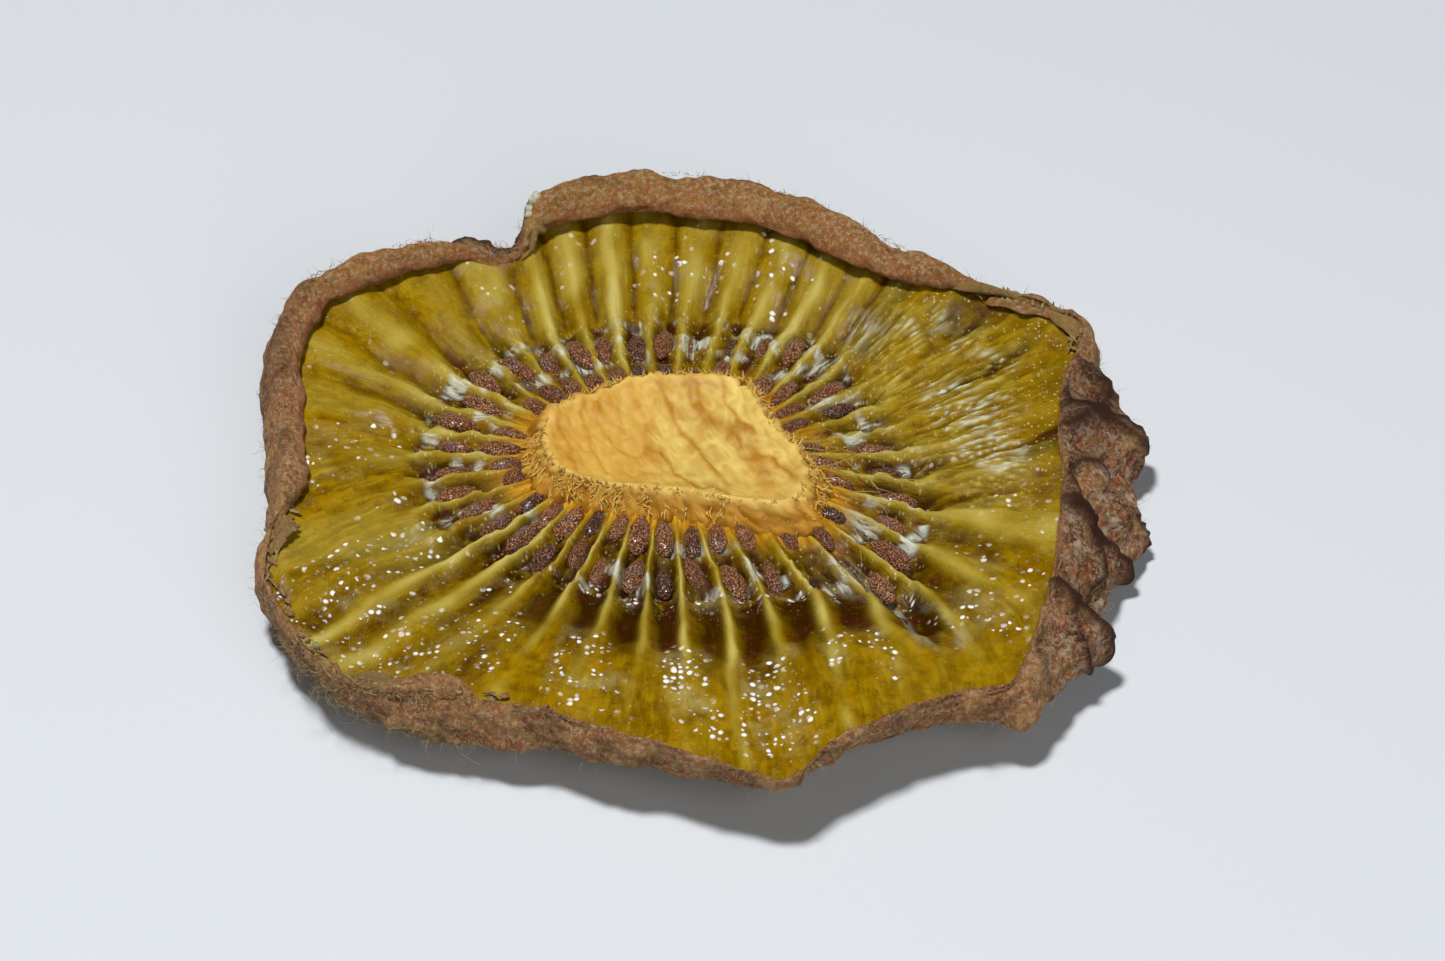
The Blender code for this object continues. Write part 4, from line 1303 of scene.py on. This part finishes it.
def make_strand_material(name, root, tip, translucency):
    """Dried plant fibres: a tone from root to tip, a little light let through."""
    material = new_material(name)
    share, tone, _, _ = painted(material)
    body = coats(material, root, (share, tip, 1), (tone, root, 0.5))
    return finish_with(material, {
        "Base Color": body, "Roughness": 0.6, "IOR": 1.45, "Specular IOR Level": 0.3,
        "Subsurface Weight": translucency, "Subsurface Radius": (1, 0.7, 0.3), "Subsurface Scale": 0.2 * MM,
    })


def make_crumb_material():
    """Torn scraps of dried peel: papery, from greenish membrane to reddish brown skin."""
    material = new_material("torn_kiwi_peel")
    where = add(material, "ShaderNodeTexCoord").outputs["Object"]
    tone, bleached, _, _ = painted(material)
    body = coats(
        material, "84583a",
        (tone, "8e8450", 1),
        (bleached, "b4b69e", 1),
        (mottle(material, where, 0.4, 0.45, 0.65, 4, 0.7), "6e4a2a", 0.5),
    )
    bump = add(material, "ShaderNodeBump", {
        "Strength": 1.0, "Distance": 0.08 * MM, "Height": mottle(material, where, 0.25, 0.2, 0.8, 4),
    })
    return finish_with(material, {
        "Base Color": body, "Roughness": 0.7, "IOR": 1.45, "Specular IOR Level": 0.3, "Normal": bump,
    })


# ---------------------------------------------------------------- floor, light and camera

FLOOR_SIZE = 0.9
LIGHTS = (("key", (-60, -50, 400), 50, 1.85), ("fill", (140, -300, 220), 260, 0.55))  # place, size, power
SKY_STRENGTH = 0.06
PHOTO_WIDTH = 1445
PIXELS_PER_MM = 20.8  # scale of the photograph at the core
CAMERA_DISTANCE = 218.0  # from the core, in mm
CAMERA_ELEVATION = 43.0
SENSOR_WIDTH = 36.0
CAMERA_PLACE = (2.764, -160.730, 151.487)


def make_floor():
    """A plain pale floor."""
    mesh, _ = small_shape("floor", bmesh.ops.create_grid, x_segments=1, y_segments=1, size=FLOOR_SIZE)
    pale = {"Base Color": "c4c8cc", "Roughness": 0.9}
    mesh.materials.append(finish_with(new_material("matte_pale_paint"), pale))
    floor = in_scene("floor", mesh)


def make_light(name, place, size, power):
    """A soft square light that faces the slice."""
    data = bpy.data.lights.new(name, "AREA")
    data.size = size * MM
    data.energy = power
    light = in_scene(name, data)
    light.location = Vector(place) * MM
    light.rotation_euler = (-Vector(place)).to_track_quat("-Z", "Y").to_euler()


def make_studio():
    for light in LIGHTS:
        make_light(*light)
    world = bpy.data.worlds.new("studio")
    world.use_nodes = True
    sky = world.node_tree.nodes["Background"]
    sky.inputs["Color"].default_value = colour("dfe3e8")
    sky.inputs["Strength"].default_value = SKY_STRENGTH
    bpy.context.scene.world = world
    bpy.context.scene.view_settings.view_transform = "Standard"


def make_camera():
    data = bpy.data.cameras.new("camera")
    data.sensor_width = SENSOR_WIDTH
    data.lens = SENSOR_WIDTH * PIXELS_PER_MM * CAMERA_DISTANCE / PHOTO_WIDTH
    data.clip_start = 1 * MM
    camera = in_scene("camera", data)
    camera.location = Vector(CAMERA_PLACE) * MM
    camera.rotation_euler = (math.radians(90 - CAMERA_ELEVATION), 0, 0)
    bpy.context.scene.camera = camera


def main():
    make_camera()
    make_studio()
    make_floor()
    make_flesh(make_flesh_material())
    make_core(make_core_material())
    peel = make_peel_material()
    make_peel(peel)
    make_flaps(peel)

    places = seed_places()
    draw = random.Random(17)
    wet = [draw.random() < WET_SEEDS for _ in places]
    dry_places, wet_places = (
        [place for place, is_wet in zip(places, wet) if is_wet == wanted] for wanted in (False, True)
    )
    shape = seed_shape(columns=32, rings=24)
    dry = make_seed_material(
        "dry_kiwi_seed_coat", gap="40200f", dark="804828", light="bc8452", tip_colour="9c5418", gloss=0.4)
    juicy = make_seed_material(
        "juice_coated_kiwi_seed", gap="160805", dark="4a2412", light="784426", tip_colour="7e3c12", gloss=0.8)
    make_seeds("seeds_dry", dry_places, shape, SEED_LIFT - DRY_SEED_SINK, dry)
    make_seeds("seeds_wet", wet_places, shape, SEED_LIFT - WET_SEED_SINK, juicy)
    hair = make_strand_material("dried_peel_hair", "765030", "c4a670", 0.2)
    make_peel_hairs("peel_fuzz", hair, 15000, joints=2, length=0.32, width=0.018, lying=0.8, curl=0.1)
    make_peel_hairs("peel_hairs", hair, 4200, joints=9, length=0.5, width=0.015, lying=0.7, curl=0.32)
    core_fibre = make_strand_material("dried_core_fibre", "c08c30", "e4c474", 0.5)
    make_core_fringe(core_fibre)
    make_threads(make_strand_material("dried_kiwi_thread", "8c7c30", "c0b070", 0.2))
    make_crumbs(make_crumb_material())


main()
